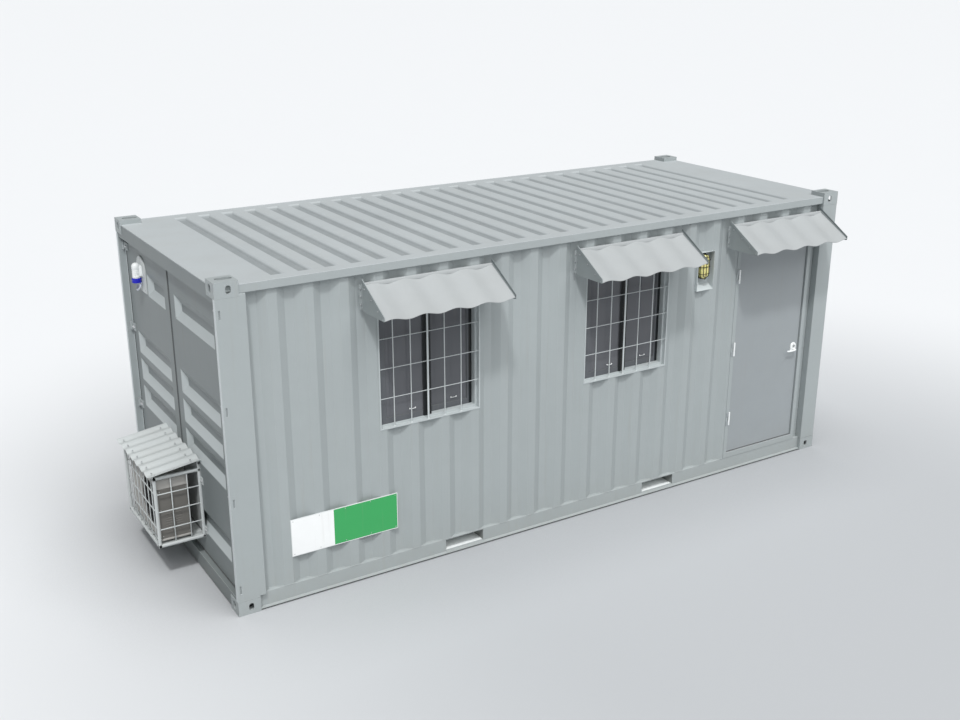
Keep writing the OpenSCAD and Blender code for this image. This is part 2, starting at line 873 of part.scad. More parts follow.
module end_linings() {
    color([0.86, 0.86, 0.84]) from_corner() {
        block([shell_x0, shell_y, deck_top],
              [shell_x0 + lining_t, width - shell_y, ceiling_z]);
        block([shell_x1 - lining_t, shell_y, deck_top],
              [shell_x1, width - shell_y, ceiling_z]);
    }
}

// ---- cargo doors ---------------------------------------------------------

// Pressed band: sloping sides and ends, y0 to y1 along the leaf, middle at z.
module band(y0, y1, z) {
    face = leaf_inset;
    deep = leaf_inset + band_depth;
    run = (band_h - band_floor) / 2;
    over = run * cut / band_depth;
    intersection() {
        along_y(y0 - run, y1 + run)
            polygon([[face - cut, z - band_h / 2 - over], [deep, z - band_floor / 2],
                [deep, z + band_floor / 2], [face - cut, z + band_h / 2 + over]]);
        along_z(z - band_h, z + band_h)
            polygon([[face - cut, y0 - over], [face - cut, y1 + over],
                [deep, y1 - run], [deep, y0 + run]]);
    }
}

// Leaf with its hinge edge towards the front side, band ends cut short at the top by trim.
module cargo_leaf(trim) {
    y0 = leaf_y0 + band_margin;
    y1 = leaf_y0 + leaf_w - band_margin;
    difference() {
        block([leaf_inset, leaf_y0, leaf_z0], [leaf_inset + leaf_t, leaf_y0 + leaf_w, leaf_z1]);
        for (z = [-band_far, -band_near, 0, band_near]) band(y0, y1, mid_height + z);
        band(y0 + trim, y1, mid_height + band_far);
    }
}

module front_cargo_leaf() {
    color([0.53, 0.56, 0.56]) from_corner() cargo_leaf(0);
}

module rear_cargo_leaf() {
    color([0.53, 0.56, 0.56]) from_corner() rear_side() cargo_leaf(band_trim);
}

module cargo_hinges() {
    color([0.58, 0.61, 0.61]) from_corner() both_sides()
        for (i = [0 : 3])
            translate([0, 0, hinge_low + i * hinge_pitch - hinge_blade_h / 2]) {
                block([leaf_inset - hinge_blade_t, hinge_pin_y, 0],
                      [leaf_inset, leaf_y0 + hinge_blade_l, hinge_blade_h]);
                translate([leaf_inset - hinge_pin_r, hinge_pin_y, 0])
                    cylinder(r = hinge_pin_r, h = hinge_blade_h, $fn = round_fn);
            }
}

module cargo_gaskets() {
    x0 = leaf_inset + gasket_inset;
    x1 = x0 + gasket_d;
    color([0.16, 0.17, 0.17]) from_corner() {
        both_sides() block([post_rebate, post_depth, cargo_sill_top],
            [x1, leaf_y0, header_z]);
        block([x0, leaf_y0 + leaf_w, cargo_sill_top],
              [x1, leaf_y0 + leaf_w + meeting_gap, header_z]);
        both_sides() {
            block([x0, leaf_y0 + cut, cargo_sill_top], [x1, leaf_y0 + leaf_w - cut, leaf_z0]);
            block([x0, leaf_y0 + cut, leaf_z1], [x1, leaf_y0 + leaf_w - cut, header_z]);
        }
    }
}

// ---- windows -------------------------------------------------------------

// Reveal box with a narrow lip outside and the fixed frame at its back.
module window_frame(x) {
    h = window_hole(x);
    lip = window_lip;
    union() {
        ring(h[0], h[1], h[2], h[3], skin_inset, room_y, reveal_t);
        ring(h[0] - lip, h[1] + lip, h[2] - lip, h[3] + lip,
             skin_inset - reveal_t, skin_inset, lip + reveal_t);
        ring(h[0], h[1], h[2], h[3], sash_front, sash_back + sash_t + reveal_t,
             reveal_t + win_frame);
    }
}

module left_window_frame() {
    color([0.78, 0.81, 0.82]) from_corner() window_frame(win_1_x);
}

module right_window_frame() {
    color([0.78, 0.81, 0.82]) from_corner() window_frame(win_2_x);
}

// Limits of the outer and the inner sash of a window: [low x, high x, front y].
function sash_limits(x) = [
    [x - win_w / 2 + win_frame, x + sash_w / 2, sash_front + reveal_t],
    [x - sash_w / 2, x + win_w / 2 - win_frame, sash_back]];

module window_sashes(x) {
    for (s = sash_limits(x))
        ring(s[0], s[1], win_z + win_frame, win_z + win_h - win_frame,
             s[2], s[2] + sash_t, sash_w);
}

module left_window_sashes() {
    color([0.10, 0.11, 0.12]) from_corner() window_sashes(win_1_x);
}

module right_window_sashes() {
    color([0.10, 0.11, 0.12]) from_corner() window_sashes(win_2_x);
}

module window_glass() {
    edge = win_frame + sash_w;
    color([0.35, 0.37, 0.39, 0.6]) from_corner()
        for (x = [win_1_x, win_2_x], s = sash_limits(x))
            block([s[0] + sash_w, s[2] + (sash_t - glass_t) / 2, win_z + edge],
                  [s[1] - sash_w, s[2] + (sash_t + glass_t) / 2, win_z + win_h - edge]);
}

// ---- awnings -------------------------------------------------------------

// Wavy sheet hung from a flange on the wall, sloping down to its lip.
module awning(x) {
    w = awning_w - 2 * gusset_t;
    slope = atan(awning_fall / awning_reach);
    run = awning_reach / cos(slope) - awning_t;
    translate([x, skin_inset, awning_top]) union() {
        translate([-w / 2, -awning_t, -awning_flange]) cube([w, awning_t, awning_flange]);
        intersection() {
            translate([0, 0, -awning_t - 2 * awning_wave]) rotate([slope, 0, 0])
                wavy_sheet(w, run, awning_pitch, awning_wave, awning_t, awning_steps);
            translate([-w / 2, -2 * awning_reach, -height / 2])
                cube([w, 2 * awning_reach - cut, height]);
        }
    }
}

module left_awning() {
    color([0.78, 0.81, 0.82]) from_corner() awning(awning_middles[0]);
}

module middle_awning() {
    color([0.78, 0.81, 0.82]) from_corner() awning(awning_middles[1]);
}

module right_awning() {
    color([0.78, 0.81, 0.82]) from_corner() awning(awning_middles[2]);
}

// Side plates: upright at the wall, their tops following the slope.
module awning_gussets() {
    tip_z = awning_top - awning_fall;
    color([0.62, 0.66, 0.67]) from_corner()
        for (x = awning_middles, side = [-1, 1])
            along_x(x + side * (awning_w - gusset_t) / 2 - gusset_t / 2,
                    x + side * (awning_w - gusset_t) / 2 + gusset_t / 2)
                polygon([[skin_inset, awning_top - gusset_h],
                    [skin_inset, awning_top + gusset_above],
                    [skin_inset - awning_reach, tip_z + gusset_above],
                    [skin_inset - awning_reach,
                     tip_z - awning_t - 2 * awning_wave + gusset_nose]]);
}

// ---- light niche, lamp, sign ---------------------------------------------

// Open box let into the wall, with a sloping bottom.
module light_niche() {
    x1 = niche_x + niche_w;
    z1 = niche_z + niche_h;
    y1 = skin_inset + niche_d + reveal_t;
    color([0.66, 0.70, 0.71]) from_corner() difference() {
        block([niche_x, skin_inset, niche_z], [x1, y1, z1]);
        along_x(niche_x + reveal_t, x1 - reveal_t)
            polygon([[skin_inset - cut, niche_z + reveal_t], [y1 - reveal_t, niche_z + niche_d * niche_rise],
                [y1 - reveal_t, z1 - reveal_t], [skin_inset - cut, z1 - reveal_t]]);
    }
}

module lamp_base() {
    color([0.16, 0.16, 0.17]) from_corner()
        translate([lamp_x, lamp_back, lamp_z]) rotate([90, 90, 0])
            linear_extrude(lamp_d) slot(lamp_h, lamp_w);
}

// Lens: a straight rim under a lower dome step.
module lamp_lens() {
    color([0.90, 0.86, 0.55]) from_corner()
        translate([lamp_x, lamp_back - lamp_d, lamp_z]) rotate([90, 90, 0]) {
            linear_extrude(lens_d - lens_step)
                slot(lamp_h - 2 * lens_rim, lamp_w - 2 * lens_rim);
            linear_extrude(lens_d) slot(lamp_h - 4 * lens_rim, lamp_w - 4 * lens_rim);
        }
}

module sign_plate() {
    color([0.30, 0.62, 0.38]) from_corner()
        block([sign_x, skin_inset - sign_t, sign_z],
              [sign_x + sign_w, skin_inset, sign_z + sign_h]);
}

// ---- personnel door ------------------------------------------------------

// Frame with a stop behind the leaf and a raised threshold.
module door_frame() {
    y_stop = door_front + door_t + door_gap;
    inner0 = frame_x0 + jamb_w;
    inner1 = frame_x1 - jamb_w;
    top = frame_z1 - jamb_w;
    sill = door_z0 - door_gap;
    y0 = frame_front;
    color([0.66, 0.70, 0.71]) from_corner() difference() {
        block([frame_x0, y0, rail_top], [frame_x1, room_y, frame_z1]);
        block([inner0, y0 - cut, sill], [inner1, y_stop, top]);
        block([inner0 + door_stop, y_stop - cut, sill],
              [inner1 - door_stop, room_y + cut, top - door_stop]);
        block([frame_x0 - cut, shell_y, rail_top - cut],
              [frame_x1 + cut, room_y + cut, deck_top]);
        for (z = hinge_heights)
            translate([hinge_axis_x, hinge_axis_y, z - barrel_h / 2 - barrel_end_room])
                cylinder(r = barrel_r + barrel_room, h = barrel_h + 2 * barrel_end_room,
                         $fn = round_fn);
    }
}

// Fixed half of the hinges: lower and upper knuckles on one pin, plates on the frame.
module door_hinges() {
    color([0.90, 0.91, 0.91]) from_corner()
        for (z = hinge_heights) translate([hinge_axis_x, hinge_axis_y, z - barrel_h / 2]) {
            cylinder(r = barrel_pin_r, h = barrel_h, $fn = round_fn);
            for (k = [0, 2]) translate([0, 0, k * knuckle_h]) {
                cylinder(r = barrel_r, h = knuckle_h - knuckle_play, $fn = round_fn);
                block([frame_x0 + hinge_plate_edge - hinge_axis_x,
                       frame_front - hinge_axis_y - hinge_plate_t, 0],
                      [0, frame_front - hinge_axis_y, knuckle_h - knuckle_play]);
            }
        }
}

// Leaf with a bore for the spindle.
module door_leaf() {
    color([0.62, 0.65, 0.67]) from_corner() difference() {
        block([door_x, door_front, door_z0], [door_x + door_w, door_front + door_t, door_top]);
        translate([handle_x, door_front - cut, handle_z])
            rotate([-90, 0, 0])
                cylinder(r = spindle_r + running_gap, h = door_t + 2 * cut, $fn = round_fn);
    }
}

// Moving half of the hinges: the middle knuckle and its plate on the leaf's face.
module door_hinge_leaves() {
    color([0.90, 0.91, 0.91]) from_corner()
        for (z = hinge_heights) translate([hinge_axis_x, hinge_axis_y, z - knuckle_h / 2])
            difference() {
                union() {
                    cylinder(r = barrel_r, h = knuckle_h - knuckle_play, $fn = round_fn);
                    translate([0, barrel_r + barrel_gap - hinge_plate_t, 0])
                        cube([hinge_plate_l, hinge_plate_t, knuckle_h - knuckle_play]);
                }
                translate([0, 0, -cut])
                    cylinder(r = barrel_pin_r + running_gap, h = knuckle_h + 2 * cut,
                             $fn = round_fn);
            }
}

// Lever on each side of the leaf, joined by the spindle.
module door_handle() {
    neck = lever_out - lever_r;
    color([0.88, 0.89, 0.90]) from_corner() translate([handle_x, 0, handle_z]) {
        translate([0, door_front - neck, 0]) rotate([-90, 0, 0])
            cylinder(r = spindle_r, h = door_t + 2 * neck, $fn = round_fn);
        for (y = [door_front - neck, door_front + door_t + neck])
            translate([lever_r, y, 0]) rotate([0, -90, 0])
                cylinder(r = lever_r, h = lever_l, $fn = round_fn);
    }
}

// ---- power inlet ---------------------------------------------------------

// Back plate with a round top.
module inlet_plate() {
    r = inlet_w / 2;
    color([0.80, 0.83, 0.83]) from_corner()
        along_x(inlet_face, leaf_inset) {
            translate([inlet_y - r, inlet_z]) square([inlet_w, inlet_h - r]);
            translate([inlet_y, inlet_z + inlet_h - r]) circle(r = r, $fn = big_fn);
        }
}

// Round body that stands off the plate on a neck.
module inlet_body() {
    color([0.94, 0.95, 0.95]) from_corner() {
        translate([inlet_axis_x, inlet_y, inlet_body_z])
            cylinder(r = inlet_body_r, h = inlet_body_h, $fn = big_fn);
        block([inlet_axis_x, inlet_y - inlet_neck_w / 2, inlet_body_z + inlet_neck_rise],
              [inlet_face, inlet_y + inlet_neck_w / 2,
               inlet_body_z + inlet_body_h - inlet_neck_rise]);
    }
}

module inlet_collar() {
    color([0.05, 0.08, 0.65]) from_corner()
        translate([inlet_axis_x, inlet_y, inlet_body_z - collar_h])
            cylinder(r = collar_r, h = collar_h, $fn = big_fn);
}

// ---- cooling unit and its cage -------------------------------------------

// Cage panel, flat: the rim of square tubes.
module panel_rim(w, h) {
    difference() {
        square([w, h]);
        translate([cage_tube, cage_tube]) square([w - 2 * cage_tube, h - 2 * cage_tube]);
    }
}

// Cage panel, flat: the thin bars that run into the rim.
module panel_bars(w, h, uprights, rows) {
    for (i = [1 : uprights])
        translate([i * w / (uprights + 1) - bar_t / 2, cage_tube - cut])
            square([bar_t, h - 2 * cage_tube + 2 * cut]);
    for (i = [1 : rows])
        translate([cage_tube - cut, i * h / (rows + 1) - bar_t / 2])
            square([w - 2 * cage_tube + 2 * cut, bar_t]);
}

module cage_front() {
    mid = -cage_reach + cage_tube / 2;
    color([0.80, 0.83, 0.83]) from_corner() {
        along_x(-cage_reach, -cage_reach + cage_tube)
            translate([cage_y - cage_w / 2, cage_z]) panel_rim(cage_w, cage_h);
        along_x(mid - bar_t / 2, mid + bar_t / 2)
            translate([cage_y - cage_w / 2, cage_z])
                panel_bars(cage_w, cage_h, front_uprights, cage_cross_bars);
    }
}

// Side panels between the front frame and the leaf, with posts up to the roof.
module cage_sides() {
    reach = leaf_inset + cage_reach - cage_tube;
    x0 = leaf_inset - reach;
    slope = roof_fall / (leaf_inset - cage_roof_x);
    color([0.80, 0.83, 0.83]) from_corner()
        for (side = [-1, 1]) {
            mid = cage_y + side * (cage_w - cage_tube) / 2;
            along_y(mid - bar_t / 2, mid + bar_t / 2)
                translate([x0, cage_z])
                    panel_bars(reach, cage_h, side_uprights, cage_cross_bars);
            along_y(mid - cage_tube / 2, mid + cage_tube / 2) {
                translate([x0, cage_z]) panel_rim(reach, cage_h);
                polygon([[x0, cage_top - cut], [x0 + cage_tube, cage_top - cut],
                    [x0 + cage_tube, cage_roof_z - slope * (leaf_inset - x0 - cage_tube)],
                    [x0, cage_roof_z - slope * (leaf_inset - x0)]]);
                polygon([[leaf_inset - cage_tube, cage_top - cut], [leaf_inset, cage_top - cut],
                    [leaf_inset, cage_roof_z],
                    [leaf_inset - cage_tube, cage_roof_z - slope * cage_tube]]);
            }
        }
}

module cage_floor() {
    inner_w = cage_w - 2 * cage_tube;
    top = unit_z - foot_h;
    color([0.78, 0.81, 0.81]) from_corner()
        block([-cage_reach + cage_tube, cage_y - inner_w / 2, top - cage_floor_t],
              [leaf_inset, cage_y + inner_w / 2, top]);
}

module cage_roof() {
    run = leaf_inset - cage_roof_x;
    slope = atan(roof_fall / run);
    w = cage_w + 2 * roof_overhang;
    color([0.83, 0.86, 0.86]) from_corner()
        intersection() {
            translate([leaf_inset, cage_y, cage_roof_z]) rotate([0, -slope, 0]) rotate(-90)
                wavy_sheet(w, run / cos(slope), w / roof_waves, cage_roof_wave, cage_roof_t,
                           cage_roof_steps);
            block([cage_roof_x - roof_overhang, cage_y - w, 0],
                  [leaf_inset, cage_y + w, height]);
        }
}

// Casing on two feet, with a round recess for the fan.
module cooling_unit() {
    y0 = cage_y - unit_w / 2;
    color([0.72, 0.71, 0.68]) from_corner() {
        difference() {
            block([unit_front, y0, unit_z], [unit_front + unit_d, y0 + unit_w, unit_z + unit_h]);
            translate([unit_front - cut, fan_y, unit_z + unit_h / 2])
                rotate([0, 90, 0])
                    cylinder(r = fan_r_fit, h = fan_depth + cut, $fn = big_fn);
        }
        for (side = [-1, 1])
            translate([unit_front, cage_y + side * foot_shift - foot_w / 2, unit_z - foot_h])
                cube([unit_d, foot_w, foot_h]);
    }
}

// ---- nodes ---------------------------------------------------------------

bottom_castings();
top_castings();
cargo_end_posts();
plain_end_posts();
front_bottom_rail();
rear_bottom_rail();
rail_straps();
front_top_rail();
rear_top_rail();
cargo_end_sill();
cargo_end_header();
plain_end_sill();
plain_end_header();
cross_members();
fork_pocket_sides();
fork_pocket_plates();
floor_deck();
roof_sheet();
ceiling_panel();
front_wall();
front_wall_infills();
rear_wall();
plain_end_wall();
front_lining();
front_lining_infills();
rear_lining();
end_linings();
front_cargo_leaf();
rear_cargo_leaf();
cargo_hinges();
cargo_gaskets();
left_window_frame();
right_window_frame();
left_window_sashes();
right_window_sashes();
window_glass();
left_awning();
middle_awning();
right_awning();
awning_gussets();
light_niche();
lamp_base();
lamp_lens();
sign_plate();
door_frame();
door_hinges();
door_leaf();
door_hinge_leaves();
door_handle();
inlet_plate();
inlet_body();
inlet_collar();
cage_front();
cage_sides();
cage_floor();
cage_roof();
cooling_unit();
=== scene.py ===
"""Looks of a steel container cabin: paint, glass, awnings, window bars, door furniture,
power inlet, cooling unit in its cage, and the studio around them. Lengths are in metres."""

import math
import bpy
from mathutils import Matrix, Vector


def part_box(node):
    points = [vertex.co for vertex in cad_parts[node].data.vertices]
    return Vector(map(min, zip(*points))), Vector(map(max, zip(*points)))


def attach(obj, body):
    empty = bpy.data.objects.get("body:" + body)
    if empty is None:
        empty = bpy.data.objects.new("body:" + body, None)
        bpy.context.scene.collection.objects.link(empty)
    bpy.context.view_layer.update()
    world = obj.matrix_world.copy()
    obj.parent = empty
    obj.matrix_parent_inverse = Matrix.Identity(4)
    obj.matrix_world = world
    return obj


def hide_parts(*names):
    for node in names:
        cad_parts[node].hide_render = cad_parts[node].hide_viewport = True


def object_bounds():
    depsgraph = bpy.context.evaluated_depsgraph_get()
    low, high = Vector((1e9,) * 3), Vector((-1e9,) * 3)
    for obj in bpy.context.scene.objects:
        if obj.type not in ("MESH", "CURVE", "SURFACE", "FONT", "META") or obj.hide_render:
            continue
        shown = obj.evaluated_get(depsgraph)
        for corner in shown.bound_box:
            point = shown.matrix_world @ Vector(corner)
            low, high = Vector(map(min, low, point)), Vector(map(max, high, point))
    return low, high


bl_info = {
    "name": "Container Cabin Looks",
    "version": (1, 0, 0),
    "blender": (4, 5, 0),
    "location": "View3D > Sidebar > Cabin",
    "description": "Builds the finishes and fittings of a steel container cabin",
    "category": "Object",
}

import bmesh
import bpy
from bpy.props import FloatProperty, FloatVectorProperty, IntProperty, PointerProperty
from mathutils import Vector

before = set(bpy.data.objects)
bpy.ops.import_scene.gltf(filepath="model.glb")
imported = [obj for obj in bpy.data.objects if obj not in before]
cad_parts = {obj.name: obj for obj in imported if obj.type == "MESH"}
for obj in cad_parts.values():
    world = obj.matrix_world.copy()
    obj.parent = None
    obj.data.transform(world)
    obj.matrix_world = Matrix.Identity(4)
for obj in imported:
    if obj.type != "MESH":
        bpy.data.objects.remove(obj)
CAD_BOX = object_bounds()

CASTING = Vector((0.178, 0.162, 0.118))
CARGO_HINGE_HEIGHTS = [0.220 + 0.713 * i for i in range(4)]
DOOR_HINGE_HEIGHTS = (0.537, 1.228, 1.925)
DOOR_GAP = 0.006
SPINDLE_INSET = 0.009
CAGE_TUBE = 0.032
SIGN_BLANK_SHARE = 0.392
SIGN_BORDER = 0.006
LEAST_RADIUS = 0.00005
JOIN_DISTANCE = 0.00002
HALF_LENGTH = 3.029
AWNING_FALL = 0.192
FAN_RADIUS = 0.205

KEY_AIM, KEY_SOFTNESS = Vector((0.30, 0.43, -0.85)), 5
FILL_AIM, FILL_SOFTNESS = Vector((-0.04, 0.56, -0.82)), 60
# centre shift and fade span of the painted shade on the floor
FLOOR_OFFSET = (-1.0, 2.8, 0.0)
FLOOR_FADE = (2.4, 10.0)
FLOOR_RADIUS = 400


def tone(red, green, blue):
    """Linear colour for a screen colour given in 0 to 255."""
    def linear(value):
        value = value / 255
        return value / 12.92 if value <= 0.04045 else ((value + 0.055) / 1.055) ** 2.4
    return (linear(red), linear(green), linear(blue))


def colour(name, description, *screen):
    return FloatVectorProperty(name=name, description=description, default=tone(*screen),
                               subtype="COLOR", size=3, min=0.0, max=1.0)


def distance(name, description, default, low=0.0, high=10.0):
    return FloatProperty(name=name, description=description, default=default,
                         min=low, max=high, unit="LENGTH", subtype="DISTANCE")


def amount(name, description, default, high=1.0):
    return FloatProperty(name=name, description=description, default=default,
                         min=0.0, max=high, subtype="FACTOR")


def number(name, description, default, low, high):
    return IntProperty(name=name, description=description, default=default, min=low, max=high)


def level(name, description, default, low, high):
    return FloatProperty(name=name, description=description, default=default, min=low, max=high)


# ---- settings --------------------------------------------------------------


class CabinColours(bpy.types.PropertyGroup):
    """Colours of the cabin's finishes."""

    wall: colour("Walls", "Paint of the corrugated walls and the frame", 163, 170, 171)
    roof: colour("Roof", "Paint of the roof sheet", 180, 186, 188)
    # painted shade: darker colour that stands in for the shade in the roof's troughs
    trough_shade: colour("Roof troughs", "Painted shade in the roof's troughs", 142, 148, 150)
    # painted shade: the cargo door paint is darker than the walls to stand in for the shade on the
    # cargo end
    leaf: colour("Cargo doors", "Paint of the cargo doors and their surround, darkened as painted shade", 123, 130, 131)
    # painted light: paler colour for the cargo door slopes that face the light
    leaf_lit_slope: colour("Lit slopes", "Painted light on the cargo doors' slopes", 184, 191, 192)
    # painted light: paler colour for the posts' end faces, standing in for light on them
    post_end_light: colour("Post ends", "Painted light on the end faces of the posts", 206, 213, 215)
    underframe: colour("Underframe", "Paint of cross members and fork pockets", 128, 134, 135)
    # painted light: pale colour inside the fork pockets, standing in for light their shade keeps
    # out
    pocket: colour("Fork pockets", "Painted light inside the fork pockets", 232, 236, 236)
    awning: colour("Awnings", "Paint of the awning sheets", 168, 172, 173)
    gusset: colour("Gussets", "Paint of the awning gussets", 150, 157, 158)
    # painted shade: darker colour for the right gussets' edges, standing in for the shade on their
    # faces
    gusset_edge_shade: colour("Gusset edges", "Painted shade on the edges of the right gussets", 104, 112, 114)
    reveal: colour("Window reveals", "Paint of window reveals and sills", 184, 191, 192)
    door: colour("Door", "Paint of the personnel door", 153, 159, 162)
    sash: colour("Sash meeting stiles", "Dark anodised meeting stiles", 24, 28, 30)
    sash_edge: colour("Sash rails", "Sash rails around the glass", 92, 95, 99)
    glass: colour("Glass", "Tint of the window glass", 110, 112, 117)
    bars: colour("Window bars", "Paint of the window bars", 198, 204, 205)
    sign_field: colour("Sign field", "Enamel of the long part of the sign", 56, 165, 92)
    sign_blank: colour("Sign blank", "Enamel of the short part of the sign", 244, 246, 246)
    lens: colour("Lamp lens", "Prismatic lens of the bulkhead light", 252, 242, 158)
    plastic: colour("White plastic", "Inlet housing and hinges", 238, 241, 241)
    collar: colour("Inlet collar", "Locking collar of the power inlet", 14, 24, 186)
    cage: colour("Cage", "Powder coat of the cage and its roof", 196, 201, 201)
    casing: colour("Cooling unit", "Sheet casing of the cooling unit", 112, 110, 106)
    lid: colour("Unit lid", "Paler front and lid of the cooling unit", 176, 174, 170)
    lining: colour("Lining", "Inner face of the insulated panels", 228, 228, 222)
    deck: colour("Deck boards", "Sealed plywood of the floor", 122, 98, 74)
    dust: colour("Dust", "Dried dust and splash marks", 150, 143, 130)
    steel: colour("Bare steel", "Steel where the paint is rubbed through", 120, 118, 114)


class CabinSurface(bpy.types.PropertyGroup):
    """How worn and dusty the finishes are."""

    dust: amount("Dust", "Dust near the ground and on ledges", 0.16)
    streaks: amount("Rain streaks", "Rain marks that run down the walls", 0.10)
    wear: amount("Edge wear", "Paint rubbed from edges", 0.16)
    splash: distance("Splash height", "How far road splash reaches up", 0.55)
    wear_width: distance("Wear width", "Width of the rubbed edges", 0.004, 0.0005, 0.02)
    variation: amount("Shade variation", "Patchiness of the paint", 0.05)
    dents: distance("Sheet waviness", "Depth of the soft dents in flat sheet", 0.0016, 0.0, 0.01)


class CabinSizes(bpy.types.PropertyGroup):
    """Sizes of the fittings that are built here."""

    bar: distance("Window bar", "Side of a square window bar", 0.007, 0.005, 0.02)
    middle_bar: distance("Middle bar", "Width of the flat bar in the middle", 0.015, 0.01, 0.04)
    bar_first: distance("First bar", "Window edge to the first upright bar", 0.118, 0.05, 0.2)
    bar_pitch: distance("Bar pitch", "Spacing of the upright bars", 0.150, 0.1, 0.2)
    bar_rows: number("Bar rows", "Panes between the cross bars", 4, 2, 8)
    twist: distance("Bar twist", "Length of one turn of a twisted cross bar", 0.075, 0.03, 0.3)
    awning_pitch: distance("Awning waves", "Spacing of the awning's soft waves", 0.262, 0.15, 0.4)
    awning_rise: distance("Awning wave height", "Half height of the waves", 0.010, 0.004, 0.02)
    awning_sheet: distance("Awning sheet", "Thickness of the awning sheet", 0.003, 0.001, 0.006)
    wave_flat: distance("Outer flat", "Width of the walls' outer flats", 0.072, 0.05, 0.1)
    wave_back: distance("Inner flat", "Width of the walls' inner flats", 0.070, 0.05, 0.1)
    wave_slope: distance("Wave slope", "Run of the walls' sloping faces", 0.068, 0.04, 0.1)
    wave_depth: distance("Wave depth", "Depth of the walls' corrugations", 0.036, 0.02, 0.05)
    wave_start: distance("Wave start", "First outer flat from the cargo end", 0.391, 0.3, 0.5)
    knuckle: distance("Hinge knuckle", "Half width of a door hinge's barrel", 0.010, 0.004, 0.02)
    bolt: distance("Bolt head", "Width across a bolt head", 0.016, 0.008, 0.03)
    rivet: distance("Rivet head", "Width of a rivet head", 0.010, 0.004, 0.02)
    cage_bar: distance("Cage bar", "Thickness of a cage bar", 0.009, 0.005, 0.02)
    cage_uprights: number("Cage uprights", "Upright bars in the front", 7, 3, 12)
    cage_rows: number("Cage rows", "Cross bars of the cage", 3, 2, 8)
    cage_waves: number("Cage roof waves", "Waves across the cage roof", 7, 3, 12)
    fan_blades: number("Fan blades", "Blades of the cooling unit's fan", 5, 3, 9)
    guard_rings: number("Guard rings", "Rings of the fan guard", 11, 4, 20)


class CabinStage(bpy.types.PropertyGroup):
    """Camera, floor and lights."""

    camera: FloatVectorProperty(name="Camera", description="Place of the camera", size=3,
                                default=(-5.4577, -8.5619, 4.6957), subtype="XYZ",
                                unit="LENGTH")
    aim: FloatVectorProperty(name="View direction", description="Direction of the view",
                             size=3, default=(0.49664, 0.80176, -0.33245),
                             subtype="DIRECTION")
    lens: level("Lens", "Focal length in millimetres", 43.338, 20, 120)
    floor_near_shade: colour("Floor near", "Painted shade of the floor around the cabin", 184, 187, 190)
    floor_far: colour("Floor far", "Floor colour in the distance", 226, 228, 230)
    sky: level("Sky", "Strength of the even sky light", 0.20, 0, 4)
    key: level("Key light", "Strength of the soft key light", 1.55, 0, 10)
    fill: level("Fill light", "Strength of the broad front light", 2.35, 0, 10)
    backdrop: level("Backdrop", "Brightness behind the floor", 0.93, 0, 2)


# ---- shader helpers --------------------------------------------------------


def feed(tree, node, values):
    """Links sockets to a node's inputs, or sets plain values on them."""
    for key, value in values.items():
        socket = node.inputs[key]
        if hasattr(value, "is_linked"):
            tree.links.new(value, socket)
        elif socket.type == "RGBA":
            socket.default_value = (*value[:3], 1.0)
        else:
            socket.default_value = value


def put(tree, kind, values=None, **settings):
    """Adds a node, sets its plain settings and the values of its inputs."""
    made = tree.nodes.new("ShaderNode" + kind)
    for key, value in settings.items():
        setattr(made, key, value)
    feed(tree, made, values or {})
    return made


def sums(tree, operation, first, second=0.0, third=0.0, clamp=False):
    """One Math node."""
    return put(tree, "Math", {0: first, 1: second, 2: third},
               operation=operation, use_clamp=clamp).outputs[0]


def span(tree, value, low, high, to_low=0.0, to_high=1.0):
    """Maps a value from one span to another with soft ends."""
    return put(tree, "MapRange", {"Value": value, "From Min": low, "From Max": high,
                                  "To Min": to_low, "To Max": to_high},
               interpolation_type="SMOOTHSTEP").outputs["Result"]


def blend_colours(tree, factor, first, second, kind="MIX"):
    """Mixes two colours."""
    return put(tree, "Mix", {0: factor, 6: first, 7: second},
               data_type="RGBA", blend_type=kind).outputs[2]


def noise(tree, vector, scale, detail=2.0, rough=0.5):
    return put(tree, "TexNoise", {"Vector": vector, "Scale": scale,
                                  "Detail": detail, "Roughness": rough}).outputs["Fac"]


def stretched(tree, vector, x, y, z):
    """Coordinates scaled along each axis."""
    return put(tree, "Mapping", {"Vector": vector, "Scale": (x, y, z)}).outputs[0]


def own_coordinates(tree):
    """Coordinates fixed to the piece, so patterns move with it."""
    return put(tree, "TexCoord").outputs["Object"]


def parts_of(tree, vector):
    """The three parts of a vector."""
    return put(tree, "SeparateXYZ", {0: vector}).outputs


def facing(tree):
    """The three parts of the direction that a face points in."""
    return parts_of(tree, put(tree, "NewGeometry").outputs["True Normal"])


def group(name, inputs, outputs):
    """An empty shader group. Inputs are name: default and outputs are name: kind."""
    made = bpy.data.node_groups.new(name, "ShaderNodeTree")
    kinds = {"float": "NodeSocketFloat", "colour": "NodeSocketColor"}
    for key, default in inputs.items():
        is_colour = isinstance(default, tuple)
        socket = made.interface.new_socket(name=key, in_out="INPUT",
                                           socket_type=kinds["colour" if is_colour else "float"])
        socket.default_value = (*default, 1.0) if is_colour else default
    for key, kind in outputs.items():
        made.interface.new_socket(name=key, in_out="OUTPUT", socket_type=kinds[kind])
    given = made.nodes.new("NodeGroupInput").outputs
    return made, given, made.nodes.new("NodeGroupOutput")


# ---- shared effects --------------------------------------------------------


